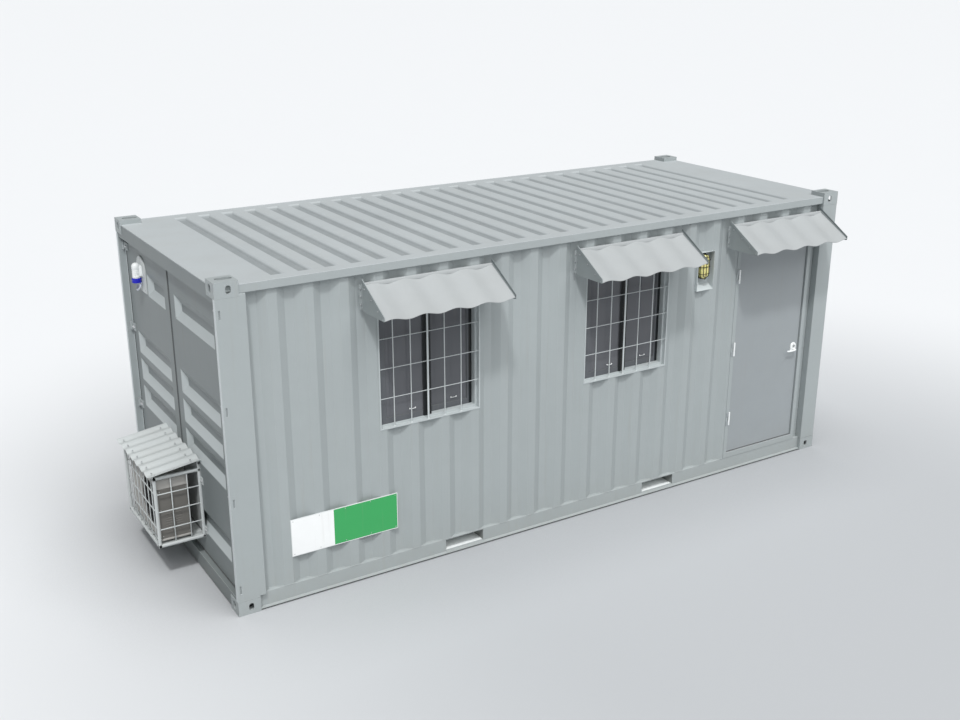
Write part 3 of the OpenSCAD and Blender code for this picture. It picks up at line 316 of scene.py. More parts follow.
def build_paint_film():
    """Sprayed paint: patches of slightly different shade, and orange peel."""
    tree, given, out = group("Paint film",
                             {"Colour": (0.5, 0.5, 0.5), "Variation": 0.05, "Gloss": 0.45,
                              "Peel": 0.0002},
                             {"Colour": "colour", "Roughness": "float", "Height": "float"})
    place = own_coordinates(tree)
    patch = noise(tree, place, 1.1, 3.0, 0.55)
    spray = noise(tree, place, 9.0, 2.0, 0.6)
    mixed = sums(tree, "MULTIPLY_ADD", patch, 0.7, sums(tree, "MULTIPLY", spray, 0.3))
    shade = sums(tree, "SUBTRACT", mixed, 0.5)
    lift = sums(tree, "MULTIPLY_ADD", shade, sums(tree, "MULTIPLY", given["Variation"], 3.0), 1.0)
    tinted = put(tree, "VectorMath", {0: given["Colour"], "Scale": lift},
                 operation="SCALE").outputs[0]
    feed(tree, out, {"Colour": tinted,
                     "Roughness": sums(tree, "MULTIPLY_ADD", shade, 0.25, given["Gloss"],
                                       clamp=True)})
    peel = noise(tree, place, 260.0, 1.0)
    feed(tree, out, {"Height": sums(tree, "MULTIPLY", peel, given["Peel"])})
    return tree


def build_weather():
    """Road splash near the ground, dust on ledges and rain streaks down the faces."""
    tree, given, out = group("Weather",
                             {"Colour": (0.5, 0.5, 0.5), "Dust colour": (0.3, 0.3, 0.3),
                              "Dust": 0.2, "Streaks": 0.1, "Splash": 0.5},
                             {"Colour": "colour", "Mask": "float"})
    place = own_coordinates(tree)
    height = parts_of(tree, place)[2]
    grain = noise(tree, place, 14.0, 4.0, 0.65)
    low = put(tree, "MapRange", {"Value": height, "From Min": given["Splash"],
                                 "From Max": 0.0}).outputs[0]
    low = sums(tree, "POWER", low, 1.8)
    splash = sums(tree, "MULTIPLY", low, span(tree, grain, 0.25, 0.75, 0.35, 1.0))
    up = facing(tree)[2]
    ledge = sums(tree, "MULTIPLY", span(tree, up, 0.75, 1.0),
                 span(tree, noise(tree, place, 3.5, 4.0, 0.6), 0.42, 0.70, 0.0, 0.45))
    dust = sums(tree, "MULTIPLY", sums(tree, "MAXIMUM", splash, ledge), given["Dust"])
    run = noise(tree, stretched(tree, place, 1.0, 1.0, 0.045), 26.0, 3.0, 0.6)
    run = sums(tree, "MULTIPLY", span(tree, run, 0.55, 0.78), span(tree, up, 0.4, 0.05))
    run = sums(tree, "MULTIPLY", run, given["Streaks"])
    mask = sums(tree, "ADD", dust, run, clamp=True)
    feed(tree, out, {"Colour": blend_colours(tree, mask, given["Colour"], given["Dust colour"]),
                     "Mask": mask})
    return tree


def build_edge_wear():
    """Paint rubbed thin along sharp edges, broken up by grain."""
    tree, given, out = group("Edge wear",
                             {"Colour": (0.5, 0.5, 0.5), "Bare": (0.2, 0.2, 0.2), "Wear": 0.2,
                              "Width": 0.004},
                             {"Colour": "colour", "Mask": "float"})
    place = own_coordinates(tree)
    rounded = put(tree, "Bevel", {"Radius": given["Width"]}, samples=4).outputs[0]
    faces = put(tree, "NewGeometry").outputs["Normal"]
    match = put(tree, "VectorMath", {0: rounded, 1: faces},
                operation="DOT_PRODUCT").outputs["Value"]
    turn = span(tree, match, 0.995, 0.90)
    chips = span(tree, noise(tree, place, 38.0, 4.0, 0.7), 0.46, 0.62)
    mask = sums(tree, "MULTIPLY", sums(tree, "MULTIPLY", turn, chips), given["Wear"], clamp=True)
    feed(tree, out, {"Colour": blend_colours(tree, mask, given["Colour"], given["Bare"]),
                     "Mask": mask})
    return tree


def build_sheet_dents():
    """Soft dents and waviness of thin sheet."""
    tree, given, out = group("Sheet dents", {"Depth": 0.001, "Size": 2.2}, {"Height": "float"})
    place = own_coordinates(tree)
    long_wave = put(tree, "TexNoise", {"Vector": stretched(tree, place, 1.0, 1.0, 0.6),
                                       "Scale": given["Size"], "Detail": 1.0})
    feed(tree, out, {"Height": sums(tree, "MULTIPLY", long_wave.outputs["Fac"], given["Depth"])})
    return tree


def build_moulded_grain():
    """Fine grain of moulded plastic or powder coat."""
    tree, given, out = group("Moulded grain",
                             {"Grain": 900.0, "Depth": 0.0001, "Gloss": 0.4},
                             {"Height": "float", "Roughness": "float"})
    place = own_coordinates(tree)
    cells = put(tree, "TexVoronoi", {"Vector": place, "Scale": given["Grain"]},
                feature="SMOOTH_F1").outputs["Distance"]
    feed(tree, out, {"Height": sums(tree, "MULTIPLY", cells, given["Depth"])})
    haze = noise(tree, place, 18.0, 3.0)
    feed(tree, out, {"Roughness": sums(tree, "MULTIPLY_ADD", haze, 0.16, given["Gloss"])})
    return tree


def build_metal_grain():
    """Drawn or cast grain of bare metal."""
    tree, given, out = group("Metal grain",
                             {"Colour": (0.5, 0.5, 0.5), "Stretch": 0.05, "Gloss": 0.35},
                             {"Colour": "colour", "Roughness": "float", "Height": "float"})
    place = own_coordinates(tree)
    scale = put(tree, "CombineXYZ", {0: 1.0, 1: 1.0, 2: given["Stretch"]}).outputs[0]
    drawn = put(tree, "VectorMath", {0: place, 1: scale}, operation="MULTIPLY").outputs[0]
    lines = noise(tree, drawn, 320.0, 3.0, 0.6)
    shade = sums(tree, "MULTIPLY_ADD", lines, 0.25, 0.875)
    tinted = put(tree, "VectorMath", {0: given["Colour"], "Scale": shade},
                 operation="SCALE").outputs[0]
    rough = sums(tree, "MULTIPLY_ADD", lines, 0.2, given["Gloss"], clamp=True)
    feed(tree, out, {"Colour": tinted, "Roughness": rough,
                     "Height": sums(tree, "MULTIPLY", lines, 0.0002)})
    return tree


EFFECTS = {
    "Paint film": build_paint_film, "Weather": build_weather, "Edge wear": build_edge_wear,
    "Sheet dents": build_sheet_dents, "Moulded grain": build_moulded_grain,
    "Metal grain": build_metal_grain,
}


def effect(tree, name, values=None):
    """Places a shared effect in a material."""
    shared = bpy.data.node_groups.get(name) or EFFECTS[name]()
    return put(tree, "Group", values, node_tree=shared, label=name).outputs


# ---- materials -------------------------------------------------------------


def paints():
    return bpy.context.scene.cabin_colours


def blank_material(name):
    """A material with one Principled shader, and its tree and shader."""
    made = bpy.data.materials.new(name)
    made.use_nodes = True
    tree = made.node_tree
    tree.nodes.clear()
    shader = tree.nodes.new("ShaderNodeBsdfPrincipled")
    out = tree.nodes.new("ShaderNodeOutputMaterial")
    tree.links.new(shader.outputs[0], out.inputs["Surface"])
    return made, tree, shader


def emboss(tree, shader, height, strength=1.0):
    """Feeds a height in metres to the shader's normal."""
    bump = put(tree, "Bump", {"Height": height, "Strength": strength, "Distance": 1.0})
    feed(tree, shader, {"Normal": bump.outputs[0]})


def weathered(tree, base, dust=1.0, streaks=1.0):
    """A colour under the cabin's dust, splash and rain marks, and their mask."""
    surface = bpy.context.scene.cabin_surface
    return effect(tree, "Weather", {"Colour": base,
                                    "Dust colour": paints().dust,
                                    "Dust": surface.dust * dust,
                                    "Streaks": surface.streaks * streaks,
                                    "Splash": surface.splash})


def painted_steel(name, shade, gloss=0.42, dents=0.0, dust=1.0, streaks=1.0, wear=1.0,
                  peel=0.00012, coat=0.0, layer=None):
    """Painted steel sheet or plate. layer(tree) may give another base colour."""
    surface = bpy.context.scene.cabin_surface
    made, tree, shader = blank_material(name)
    base = layer(tree) if layer else shade
    film = effect(tree, "Paint film", {"Colour": base, "Variation": surface.variation,
                                       "Gloss": gloss, "Peel": peel})
    worn = effect(tree, "Edge wear", {"Colour": film["Colour"], "Bare": paints().steel,
                                      "Wear": surface.wear * wear,
                                      "Width": surface.wear_width})
    dirty = weathered(tree, worn["Colour"], dust, streaks)
    feed(tree, shader, {"Base Color": dirty["Colour"]})
    rough = sums(tree, "MULTIPLY_ADD", dirty["Mask"], 0.5, film["Roughness"], clamp=True)
    feed(tree, shader, {"Roughness": rough})
    height = film["Height"]
    if dents:
        waves = effect(tree, "Sheet dents", {"Depth": surface.dents * dents})
        height = sums(tree, "ADD", height, waves["Height"])
    emboss(tree, shader, height)
    feed(tree, shader, {"Specular IOR Level": 0.35})
    if coat:
        feed(tree, shader, {"Coat Weight": coat, "Coat Roughness": 0.12})
    return made


def moulded_plastic(name, shade, gloss=0.35, grain=700.0, depth=0.00008):
    """Moulded plastic or rubber."""
    made, tree, shader = blank_material(name)
    skin = effect(tree, "Moulded grain", {"Grain": grain, "Depth": depth, "Gloss": gloss})
    film = effect(tree, "Paint film", {"Colour": shade, "Variation": 0.03, "Gloss": gloss,
                                       "Peel": 0.0})
    dirty = weathered(tree, film["Colour"], streaks=0.5)
    feed(tree, shader, {"Base Color": dirty["Colour"], "Roughness": skin["Roughness"]})
    emboss(tree, shader, skin["Height"])
    return made


def bare_metal(name, shade, gloss=0.32, stretch=1.0):
    """Zinc plated, cast or brushed metal."""
    made, tree, shader = blank_material(name)
    grain = effect(tree, "Metal grain", {"Colour": shade, "Gloss": gloss, "Stretch": stretch})
    dirty = weathered(tree, grain["Colour"])
    feed(tree, shader, {"Base Color": dirty["Colour"], "Roughness": grain["Roughness"],
                        "Metallic": sums(tree, "MULTIPLY_ADD", dirty["Mask"], -0.8, 0.9,
                                         clamp=True)})
    emboss(tree, shader, grain["Height"])
    return made


def roof_shade_layers(tree):
    """Roof paint, with painted shade making the troughs darker, made patchy by noise."""
    colours = paints()
    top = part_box("roof_sheet")[1].z
    height = parts_of(tree, own_coordinates(tree))[2]
    grain = noise(tree, own_coordinates(tree), 6.0, 3.0)
    # painted shade: darker below the roof's top, in the troughs, at 75 to 100 percent by noise
    depth = span(tree, height, top - 0.004, top - 0.015)
    painted_trough_shade = sums(tree, "MULTIPLY", depth, span(tree, grain, 0.0, 1.0, 0.75, 1.0))
    return blend_colours(tree, painted_trough_shade, colours.roof, colours.trough_shade)


def post_light_layers(tree):
    """Post paint, with painted light making the end faces toward -X paler."""
    colours = paints()
    return blend_colours(tree, span(tree, facing(tree)[0], -0.6, -0.9), colours.wall,
                         colours.post_end_light)


def leaf_light_layers(tree):
    """Cargo door paint, with painted light making paler the band slopes that face up or to the
    front on the end faces.
    """
    colours = paints()
    x, y, z = facing(tree)
    up = span(tree, z, 0.12, 0.30)
    front = span(tree, y, -0.12, -0.30)
    outer = span(tree, x, -0.05, -0.15)
    # painted light: on faces toward -X, slopes that point up or to the front are made paler
    slope = sums(tree, "MULTIPLY", sums(tree, "MAXIMUM", up, front), outer)
    return blend_colours(tree, slope, colours.leaf, colours.leaf_lit_slope)


def pocket_light_layers(tree):
    """Wall paint at the mouth of a fork pocket, with paler painted light inside it where the
    pocket lies in shade.
    """
    colours = paints()
    low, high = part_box("fork_pocket_plates")
    across = parts_of(tree, own_coordinates(tree))[1]
    inside = sums(tree, "MULTIPLY", span(tree, across, low.y + 0.008, low.y + 0.012),
                  span(tree, across, high.y - 0.008, high.y - 0.012))
    return blend_colours(tree, inside, colours.wall, colours.pocket)


def hinge_layers(tree):
    """White barrels between plates painted over with the door."""
    colours = paints()
    low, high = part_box("door_hinges")
    x, y, _ = parts_of(tree, own_coordinates(tree))
    front = sums(tree, "LESS_THAN", y, low.y + 0.012)
    off = sums(tree, "SUBTRACT", x, high.x - sizes().knuckle)
    barrel = sums(tree, "LESS_THAN", sums(tree, "ABSOLUTE", off), sizes().knuckle)
    return blend_colours(tree, sums(tree, "MULTIPLY", front, barrel), colours.door,
                         colours.plastic)


def sign_layers(tree):
    """Short blank field, long coloured field and a thin border line, with no lettering."""
    colours = paints()
    low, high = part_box("sign_plate")
    x, _, z = parts_of(tree, own_coordinates(tree))
    join = low.x + (high.x - low.x) * SIGN_BLANK_SHARE
    field = sums(tree, "GREATER_THAN", x, join)
    base = blend_colours(tree, field, colours.sign_blank, colours.sign_field)

    def within(value, start, end):
        return sums(tree, "MULTIPLY", sums(tree, "GREATER_THAN", value, start + SIGN_BORDER),
                    sums(tree, "LESS_THAN", value, end - SIGN_BORDER))

    inside = sums(tree, "MULTIPLY", within(x, low.x, high.x), within(z, low.z, high.z))
    return blend_colours(tree, inside, tone(228, 232, 232), base)


def sash_layers(tree):
    """Black meeting stiles and closing edges, with paler rails around the glass."""
    colours = paints()
    place = parts_of(tree, own_coordinates(tree))[0]
    black = 0.0
    for node in ("left_window_sashes", "right_window_sashes"):
        low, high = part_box(node)
        for centre, half in (((low.x + high.x) / 2 - 0.014, 0.040), (high.x - 0.012, 0.016)):
            off = sums(tree, "ABSOLUTE", sums(tree, "SUBTRACT", place, centre))
            black = sums(tree, "MAXIMUM", sums(tree, "LESS_THAN", off, half), black)
    return blend_colours(tree, black, colours.sash_edge, colours.sash)


def deck_material():
    """Sealed plywood boards laid across the cabin."""
    colours = paints()
    made, tree, shader = blank_material("Deck boards")
    place = own_coordinates(tree)
    grain = noise(tree, stretched(tree, place, 14.0, 0.8, 14.0), 5.0, 6.0, 0.65)
    board = put(tree, "TexBrick", {"Vector": place, "Color1": (0.45, 0.45, 0.45),
                                   "Color2": (0.6, 0.6, 0.6), "Mortar": (0.0, 0.0, 0.0),
                                   "Scale": 1.0, "Mortar Size": 0.003,
                                   "Brick Width": 1.2, "Row Height": 2.4})
    shade = blend_colours(tree, span(tree, grain, 0.3, 0.75), colours.deck,
                          tuple(c * 0.55 for c in colours.deck))
    lit = blend_colours(tree, 0.8, shade, board.outputs["Color"], "MULTIPLY")
    dusty = effect(tree, "Weather", {"Colour": lit, "Dust colour": colours.dust,
                                     "Dust": 0.3, "Streaks": 0.0, "Splash": 0.01})
    feed(tree, shader, {"Base Color": blend_colours(tree, 0.35, dusty["Colour"], colours.deck),
                        "Roughness": span(tree, grain, 0.2, 0.9, 0.42, 0.62)})
    joint = sums(tree, "MULTIPLY", board.outputs["Fac"], -0.002)
    emboss(tree, shader, sums(tree, "MULTIPLY_ADD", grain, 0.0003, joint))
    return made


def glass_material():
    """Tinted window glass with faint rain marks."""
    colours = paints()
    made, tree, shader = blank_material("Tinted glass")
    place = own_coordinates(tree)
    marks = noise(tree, stretched(tree, place, 1.0, 1.0, 0.08), 22.0, 4.0, 0.6)
    haze = span(tree, marks, 0.50, 0.75, 0.0, 0.06)
    feed(tree, shader, {"Base Color": blend_colours(tree, haze, colours.glass, colours.dust),
                        "Roughness": sums(tree, "MULTIPLY_ADD", haze, 1.5, 0.05),
                        "Transmission Weight": 0.22, "IOR": 1.45, "Specular IOR Level": 0.4})
    return made


def lens_material():
    """Prismatic amber lens of the bulkhead light."""
    colours = paints()
    made, tree, shader = blank_material("Lamp lens")
    place = own_coordinates(tree)
    prisms = put(tree, "TexWave", {"Vector": place, "Scale": 34.0, "Distortion": 0.0},
                 bands_direction="X").outputs["Fac"]
    rows = put(tree, "TexWave", {"Vector": place, "Scale": 34.0, "Distortion": 0.0},
               bands_direction="Z").outputs["Fac"]
    facets = sums(tree, "MULTIPLY", prisms, rows)
    film = effect(tree, "Paint film", {"Colour": colours.lens, "Variation": 0.06,
                                       "Gloss": 0.2, "Peel": 0.0})
    ridge = sums(tree, "MULTIPLY", facets, 0.35)
    feed(tree, shader, {"Base Color": blend_colours(tree, ridge, film["Colour"],
                                                    tone(255, 246, 190)),
                        "Roughness": film["Roughness"], "Transmission Weight": 0.15,
                        "Subsurface Weight": 0.2, "Subsurface Radius": (0.02, 0.015, 0.005),
                        "Coat Weight": 0.5})
    emboss(tree, shader, sums(tree, "MULTIPLY", facets, 0.0015))
    return made


def finishes():
    """All materials by their slot or fitting name, built on first use."""
    if "Wall paint" in bpy.data.materials:
        return {m["finish"]: m for m in bpy.data.materials if "finish" in m}
    c = paints()
    made = {
        "casting_steel": painted_steel("Casting paint", c.wall, 0.5, peel=0.0006, wear=1.4,
                                       dust=0.5),
        "frame_paint": painted_steel("Frame paint", c.wall, 0.42, wear=1.4),
        "wall_paint": painted_steel("Wall paint", c.wall, 0.44, dents=1.0),
        "roof_paint": painted_steel("Roof paint", c.roof, 0.5, dents=1.2, dust=0.8, streaks=0.0,
                                    layer=roof_shade_layers),
        "post_paint": painted_steel("Post paint", c.wall, 0.42, wear=1.4, layer=post_light_layers),
        "pocket_painted_light": painted_steel("Pocket primer", c.pocket, 0.5, dust=0.2, wear=0.5,
                                       layer=pocket_light_layers),
        "leaf_paint": painted_steel("Cargo door paint", c.leaf, 0.46, dents=0.6,
                                    layer=leaf_light_layers),
        "underframe_paint": painted_steel("Underframe paint", c.underframe, 0.6, dust=2.4),
        "window_frame_paint": painted_steel("Reveal paint", c.reveal, 0.38, wear=0.6),
        "awning_paint": painted_steel("Awning paint", c.awning, 0.5, dents=0.8, streaks=0.0),
        "gusset_paint": painted_steel("Gusset paint", c.gusset, 0.46),
        "gusset_shade_paint": painted_steel("Gusset edge paint", c.gusset_edge_shade, 0.46, wear=2.0),
        "door_paint": painted_steel("Door paint", c.door, 0.36, dents=0.3, coat=0.15),
        "sign_enamel": painted_steel("Sign enamel", c.sign_field, 0.22, wear=0.4, peel=0.00004,
                                     coat=0.4, layer=sign_layers),
        "sash_black": painted_steel("Sash anodising", c.sash, 0.34, wear=0.3, dust=0.5,
                                    layer=sash_layers),
        "cage_paint": painted_steel("Cage powder coat", c.cage, 0.5, peel=0.0004, wear=0.8),
        "unit_casing": painted_steel("Unit casing paint", c.casing, 0.4, dents=0.5, wear=0.6),
        "unit_lid": painted_steel("Unit lid paint", c.lid, 0.4, dents=0.3, wear=0.6),
        "lining": painted_steel("Lining face", c.lining, 0.42, dents=0.4, dust=0.2, wear=0.0,
                                streaks=0.0),
        "bars": painted_steel("Bar paint", c.bars, 0.4, wear=0.5, dust=0.5),
        "gasket_rubber": moulded_plastic("Gasket rubber", tone(88, 92, 93), 0.62, 500.0, 0.0002),
        "lamp_black": moulded_plastic("Lamp housing", tone(28, 28, 29), 0.5, 500.0, 0.00015),
        "hinge_white": painted_steel("Hinge paint", c.plastic, 0.34, wear=0.4, layer=hinge_layers),
        "screw_paint": painted_steel("Painted screws", c.door, 0.34, wear=0.4),
        "handle_white": moulded_plastic("Handle finish", c.plastic, 0.26, 1500.0, 0.00003),
        "inlet_white": moulded_plastic("Inlet housing", c.plastic, 0.3),
        "inlet_blue": moulded_plastic("Inlet collar", c.collar, 0.3),
        "inlet_grey": moulded_plastic("Inlet flap", tone(186, 192, 204), 0.3),
        "fan_black": moulded_plastic("Fan plastic", tone(20, 21, 22), 0.45, 500.0),
        "zinc": bare_metal("Zinc plated steel", tone(188, 190, 192), 0.34),
        "tread": bare_metal("Threshold tread", tone(176, 178, 180), 0.4, 0.2),
        "deck_board": deck_material(),
        "window_glass": glass_material(),
        "lamp_lens": lens_material(),
    }
    for key, material in made.items():
        material["finish"] = key
    return made


def soften(piece, width, segments, angle):
    """Rounds the edges that are sharper than an angle in degrees."""
    soft = piece.modifiers.new("Rounded edges", "BEVEL")
    soft.width = width
    soft.segments = segments
    soft.limit_method = "ANGLE"
    soft.angle_limit = math.radians(angle)
    return soft


def dress(names, finish, bevel=0.0, segments=2, angle=30.0):
    """Gives CAD pieces their finish, and rounds their sharp edges."""
    material = finishes()[finish]
    for name in names:
        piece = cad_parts[name]
        piece.data.materials.clear()
        piece.data.materials.append(material)
        if bevel:
            weld = piece.modifiers.new("Joined faces", "WELD")
            weld.merge_threshold = JOIN_DISTANCE
            soften(piece, bevel, segments, angle)
            for face in piece.data.polygons:
                face.use_smooth = True
            flat = piece.modifiers.new("Flat faces", "WEIGHTED_NORMAL")
            flat.weight = 100


# ---- piece builder ---------------------------------------------------------


def frame_of(axis):
    """Two unit vectors square to an axis."""
    axis = Vector(axis).normalized()
    side = axis.cross(Vector((0, 0, 1)))
    if side.length < 1e-6:
        side = axis.cross(Vector((0, 1, 0)))
    side.normalize()
    return side, axis.cross(side).normalized(), axis


def turns(count):
    """Evenly spaced angles around a circle."""
    return [2 * math.pi * k / count for k in range(count)]


def circle(centre, side, up, radius, count):
    """Points of a circle."""
    return [centre + (side * math.cos(t) + up * math.sin(t)) * radius for t in turns(count)]


class Piece:
    """Collects the faces of one fitting, then becomes one object."""

    def __init__(self, name, main, body="cabin"):
        self.name = name
        self.main = main
        self.body = body
        self.mesh = bmesh.new()
        self.finish = []

    def slot(self, finish=None):
        """Index of a finish, or of the piece's main one."""
        finish = finish or self.main
        if finish not in self.finish:
            self.finish.append(finish)
        return self.finish.index(finish)

    def faces(self, rows, finish=None):
        """Skins rings of points. Each row is a list of points, rows are joined in order."""
        index = self.slot(finish)
        made = [[self.mesh.verts.new(p) for p in row] for row in rows]
        count = len(rows[0])
        for a, b in zip(made, made[1:]):
            for i in range(count):
                j = (i + 1) % count
                self.mesh.faces.new((a[i], a[j], b[j], b[i])).material_index = index
        return made

    def cap(self, ring, finish=None, flip=False):
        ring = list(reversed(ring)) if flip else list(ring)
        self.mesh.faces.new(ring).material_index = self.slot(finish)

    def solid(self, rows, finish=None):
        """Skins rings of points and closes both ends."""
        made = self.faces(rows, finish)
        self.cap(made[0], finish, flip=True)
        self.cap(made[-1], finish)

    def sheet(self, upper, under, finish=None, flip=False):
        """Thin sheet between two grids of points, closed along its edges."""
        index = self.slot(finish)
        grid, back = ([[self.mesh.verts.new(p) for p in row] for row in side]
                      for side in (upper, under))

        def face(a, b, c, d):
            corners = (a, d, c, b) if flip else (a, b, c, d)
            self.mesh.faces.new(corners).material_index = index

        last_row, last = len(grid) - 1, len(grid[0]) - 1
        for j in range(last_row):
            for i in range(last):
                face(grid[j][i], grid[j + 1][i], grid[j + 1][i + 1], grid[j][i + 1])
                face(back[j][i], back[j][i + 1], back[j + 1][i + 1], back[j + 1][i])
            face(grid[j][0], back[j][0], back[j + 1][0], grid[j + 1][0])
            face(grid[j][-1], grid[j + 1][-1], back[j + 1][-1], back[j][-1])
        for i in range(last):
            face(grid[0][i], grid[0][i + 1], back[0][i + 1], back[0][i])
            face(grid[-1][i], back[-1][i], back[-1][i + 1], grid[-1][i + 1])

    def block(self, low, high, finish=None):
        """Box between two corners."""
        low, high = Vector(low), Vector(high)
        bottom = [(low.x, low.y), (high.x, low.y), (high.x, high.y), (low.x, high.y)]
        self.solid([[(x, y, z) for x, y in bottom] for z in (low.z, high.z)], finish)

    def prism(self, outline, start, depth, finish=None):
        """Flat outline of points swept along a vector."""
        start, depth = Vector(start), Vector(depth)
        self.solid([[start + Vector(p) + depth * t for p in outline] for t in (0, 1)], finish)

    def turned(self, centre, axis, profile, finish=None, sides=32):
        """Round body from (radius, distance along the axis) pairs."""
        side, up, axis = frame_of(axis)
        centre = Vector(centre)
        rows = []
        for radius, along in profile:
            rows.append(circle(centre + axis * along, side, up, max(radius, LEAST_RADIUS), sides))
        self.solid(rows, finish)

    def rod(self, start, end, radius, finish=None, sides=12):
        """Round rod with slightly rounded ends."""
        start, end = Vector(start), Vector(end)
        length = (end - start).length
        edge = min(radius * 0.3, length * 0.2)
        self.turned(start, end - start, [(radius - edge, 0), (radius, edge),
                                         (radius, length - edge), (radius - edge, length)],
                    finish, sides)

    def wire(self, points, radius, finish=None, sides=8, closed=False):
        """Round wire along a line of points."""
        points = [Vector(p) for p in points]
        count = len(points)
        rows = []
        side = None
        for i, point in enumerate(points):
            before = points[i - 1] if (i or closed) else point
            after = points[(i + 1) % count] if (i < count - 1 or closed) else point
            along = (after - before).normalized()
            if side is None:
                side = frame_of(along)[0]
            side = (side - along * side.dot(along)).normalized()
            up = along.cross(side)
            rows.append(circle(point, side, up, radius, sides))
        if closed:
            made = self.faces(rows, finish)
            index = self.slot(finish)
            a, b = made[-1], made[0]
            turn = min(range(sides), key=lambda s: sum((a[k].co - b[(k + s) % sides].co).length
                                                       for k in range(sides)))
            for k in range(sides):
                j = (k + 1) % sides
                self.mesh.faces.new((a[k], a[j], b[(j + turn) % sides],
                                     b[(k + turn) % sides])).material_index = index
        else:
            self.solid(rows, finish)

    def twisted(self, start, end, width, pitch, finish=None):
        """Square bar twisted along its length."""
        start, end = Vector(start), Vector(end)
        side, up, axis = frame_of(end - start)
        length = (end - start).length
        steps = max(2, int(length / pitch * 10))
        half = width / math.sqrt(2)
        rows = []
        for i in range(steps + 1):
            turn = 2 * math.pi * length / pitch * i / steps
            rows.append([start + axis * length * i / steps
                         + (side * math.cos(turn + q) + up * math.sin(turn + q)) * half
                         for q in (math.pi / 4 + math.pi / 2 * k for k in range(4))])
        self.solid(rows, finish)

    def bolt(self, centre, axis, width, finish="zinc", height=None):
        """Hexagon head on a washer."""
        height = height or width * 0.45
        washer = width * 0.16
        self.turned(centre, axis, [(width * 0.75, 0), (width * 0.75, washer * 0.7),
                                   (width * 0.70, washer)], finish, 18)
        side, up, along = frame_of(axis)
        centre = Vector(centre) + along * washer
        rows = []
        for scale, lift in ((1.0, 0), (1.0, height * 0.8), (0.86, height)):
            rows.append([centre + along * lift
                         + (side * math.cos(t) + up * math.sin(t)) * width / 1.9 * scale
                         for t in (math.pi / 3 * k for k in range(6))])
        self.solid(rows, finish)

    def rivet(self, centre, axis, width, finish="zinc"):
        """Domed rivet or screw head."""
        r = width / 2
        self.turned(centre, axis, [(r, 0), (r, r * 0.18), (r * 0.85, r * 0.42),
                                   (r * 0.5, r * 0.62), (r * 0.15, r * 0.68)], finish, 14)

    def done(self, replaces=(), bevel=0.0, segments=2, sharp=40.0):
        """Makes the object, with smooth faces parted at sharp edges."""
        bmesh.ops.recalc_face_normals(self.mesh, faces=self.mesh.faces)
        limit = math.radians(sharp)
        for edge in self.mesh.edges:
            edge.smooth = edge.calc_face_angle(0.0) < limit
        for face in self.mesh.faces:
            face.smooth = True
        data = bpy.data.meshes.new(self.name)
        self.mesh.to_mesh(data)
        self.mesh.free()
        made = bpy.data.objects.new(self.name, data)
        bpy.context.scene.collection.objects.link(made)
        for finish in self.finish:
            data.materials.append(finishes()[finish])
        if bevel:
            soften(made, bevel, segments, sharp).harden_normals = True
        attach(made, self.body)
        if replaces:
            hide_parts(*replaces)
        return made


def sizes():
    return bpy.context.scene.cabin_sizes


def spread(low, high, count):
    """Evenly spaced values from low to high, ends included."""
    return [low + (high - low) * i / (count - 1) for i in range(count)]


class Step:
    """What every step of the build shares."""

    def execute(self, context):
        self.build()
        return {"FINISHED"}


# ---- frame, walls, roof ----------------------------------------------------


def wave_pitch():
    """Length of one corrugation of the walls."""
    s = sizes()
    return s.wave_flat + s.wave_back + 2 * s.wave_slope


def wave_depth_at(along):
    """Depth of the wall's corrugation at a distance from the start of an outer flat."""
    s = sizes()
    pitch = wave_pitch()
    p = along % pitch
    if p < s.wave_flat:
        return 0.0
    if p < s.wave_flat + s.wave_slope:
        return s.wave_depth * (p - s.wave_flat) / s.wave_slope
    if p < pitch - s.wave_slope:
        return s.wave_depth
    return s.wave_depth * (pitch - p) / s.wave_slope


def wall_line(start, low, high):
    """Distances at which a wall bends between two limits, ends included."""
    s = sizes()
    pitch = wave_pitch()
    bends = [low, high]
    first = math.floor((low - start) / pitch)
    for k in range(first, first + int((high - low) / pitch) + 3):
        for step in (0.0, s.wave_flat, s.wave_flat + s.wave_slope, pitch - s.wave_slope):
            x = start + k * pitch + step
            if low < x < high:
                bends.append(x)
    return sorted(bends)


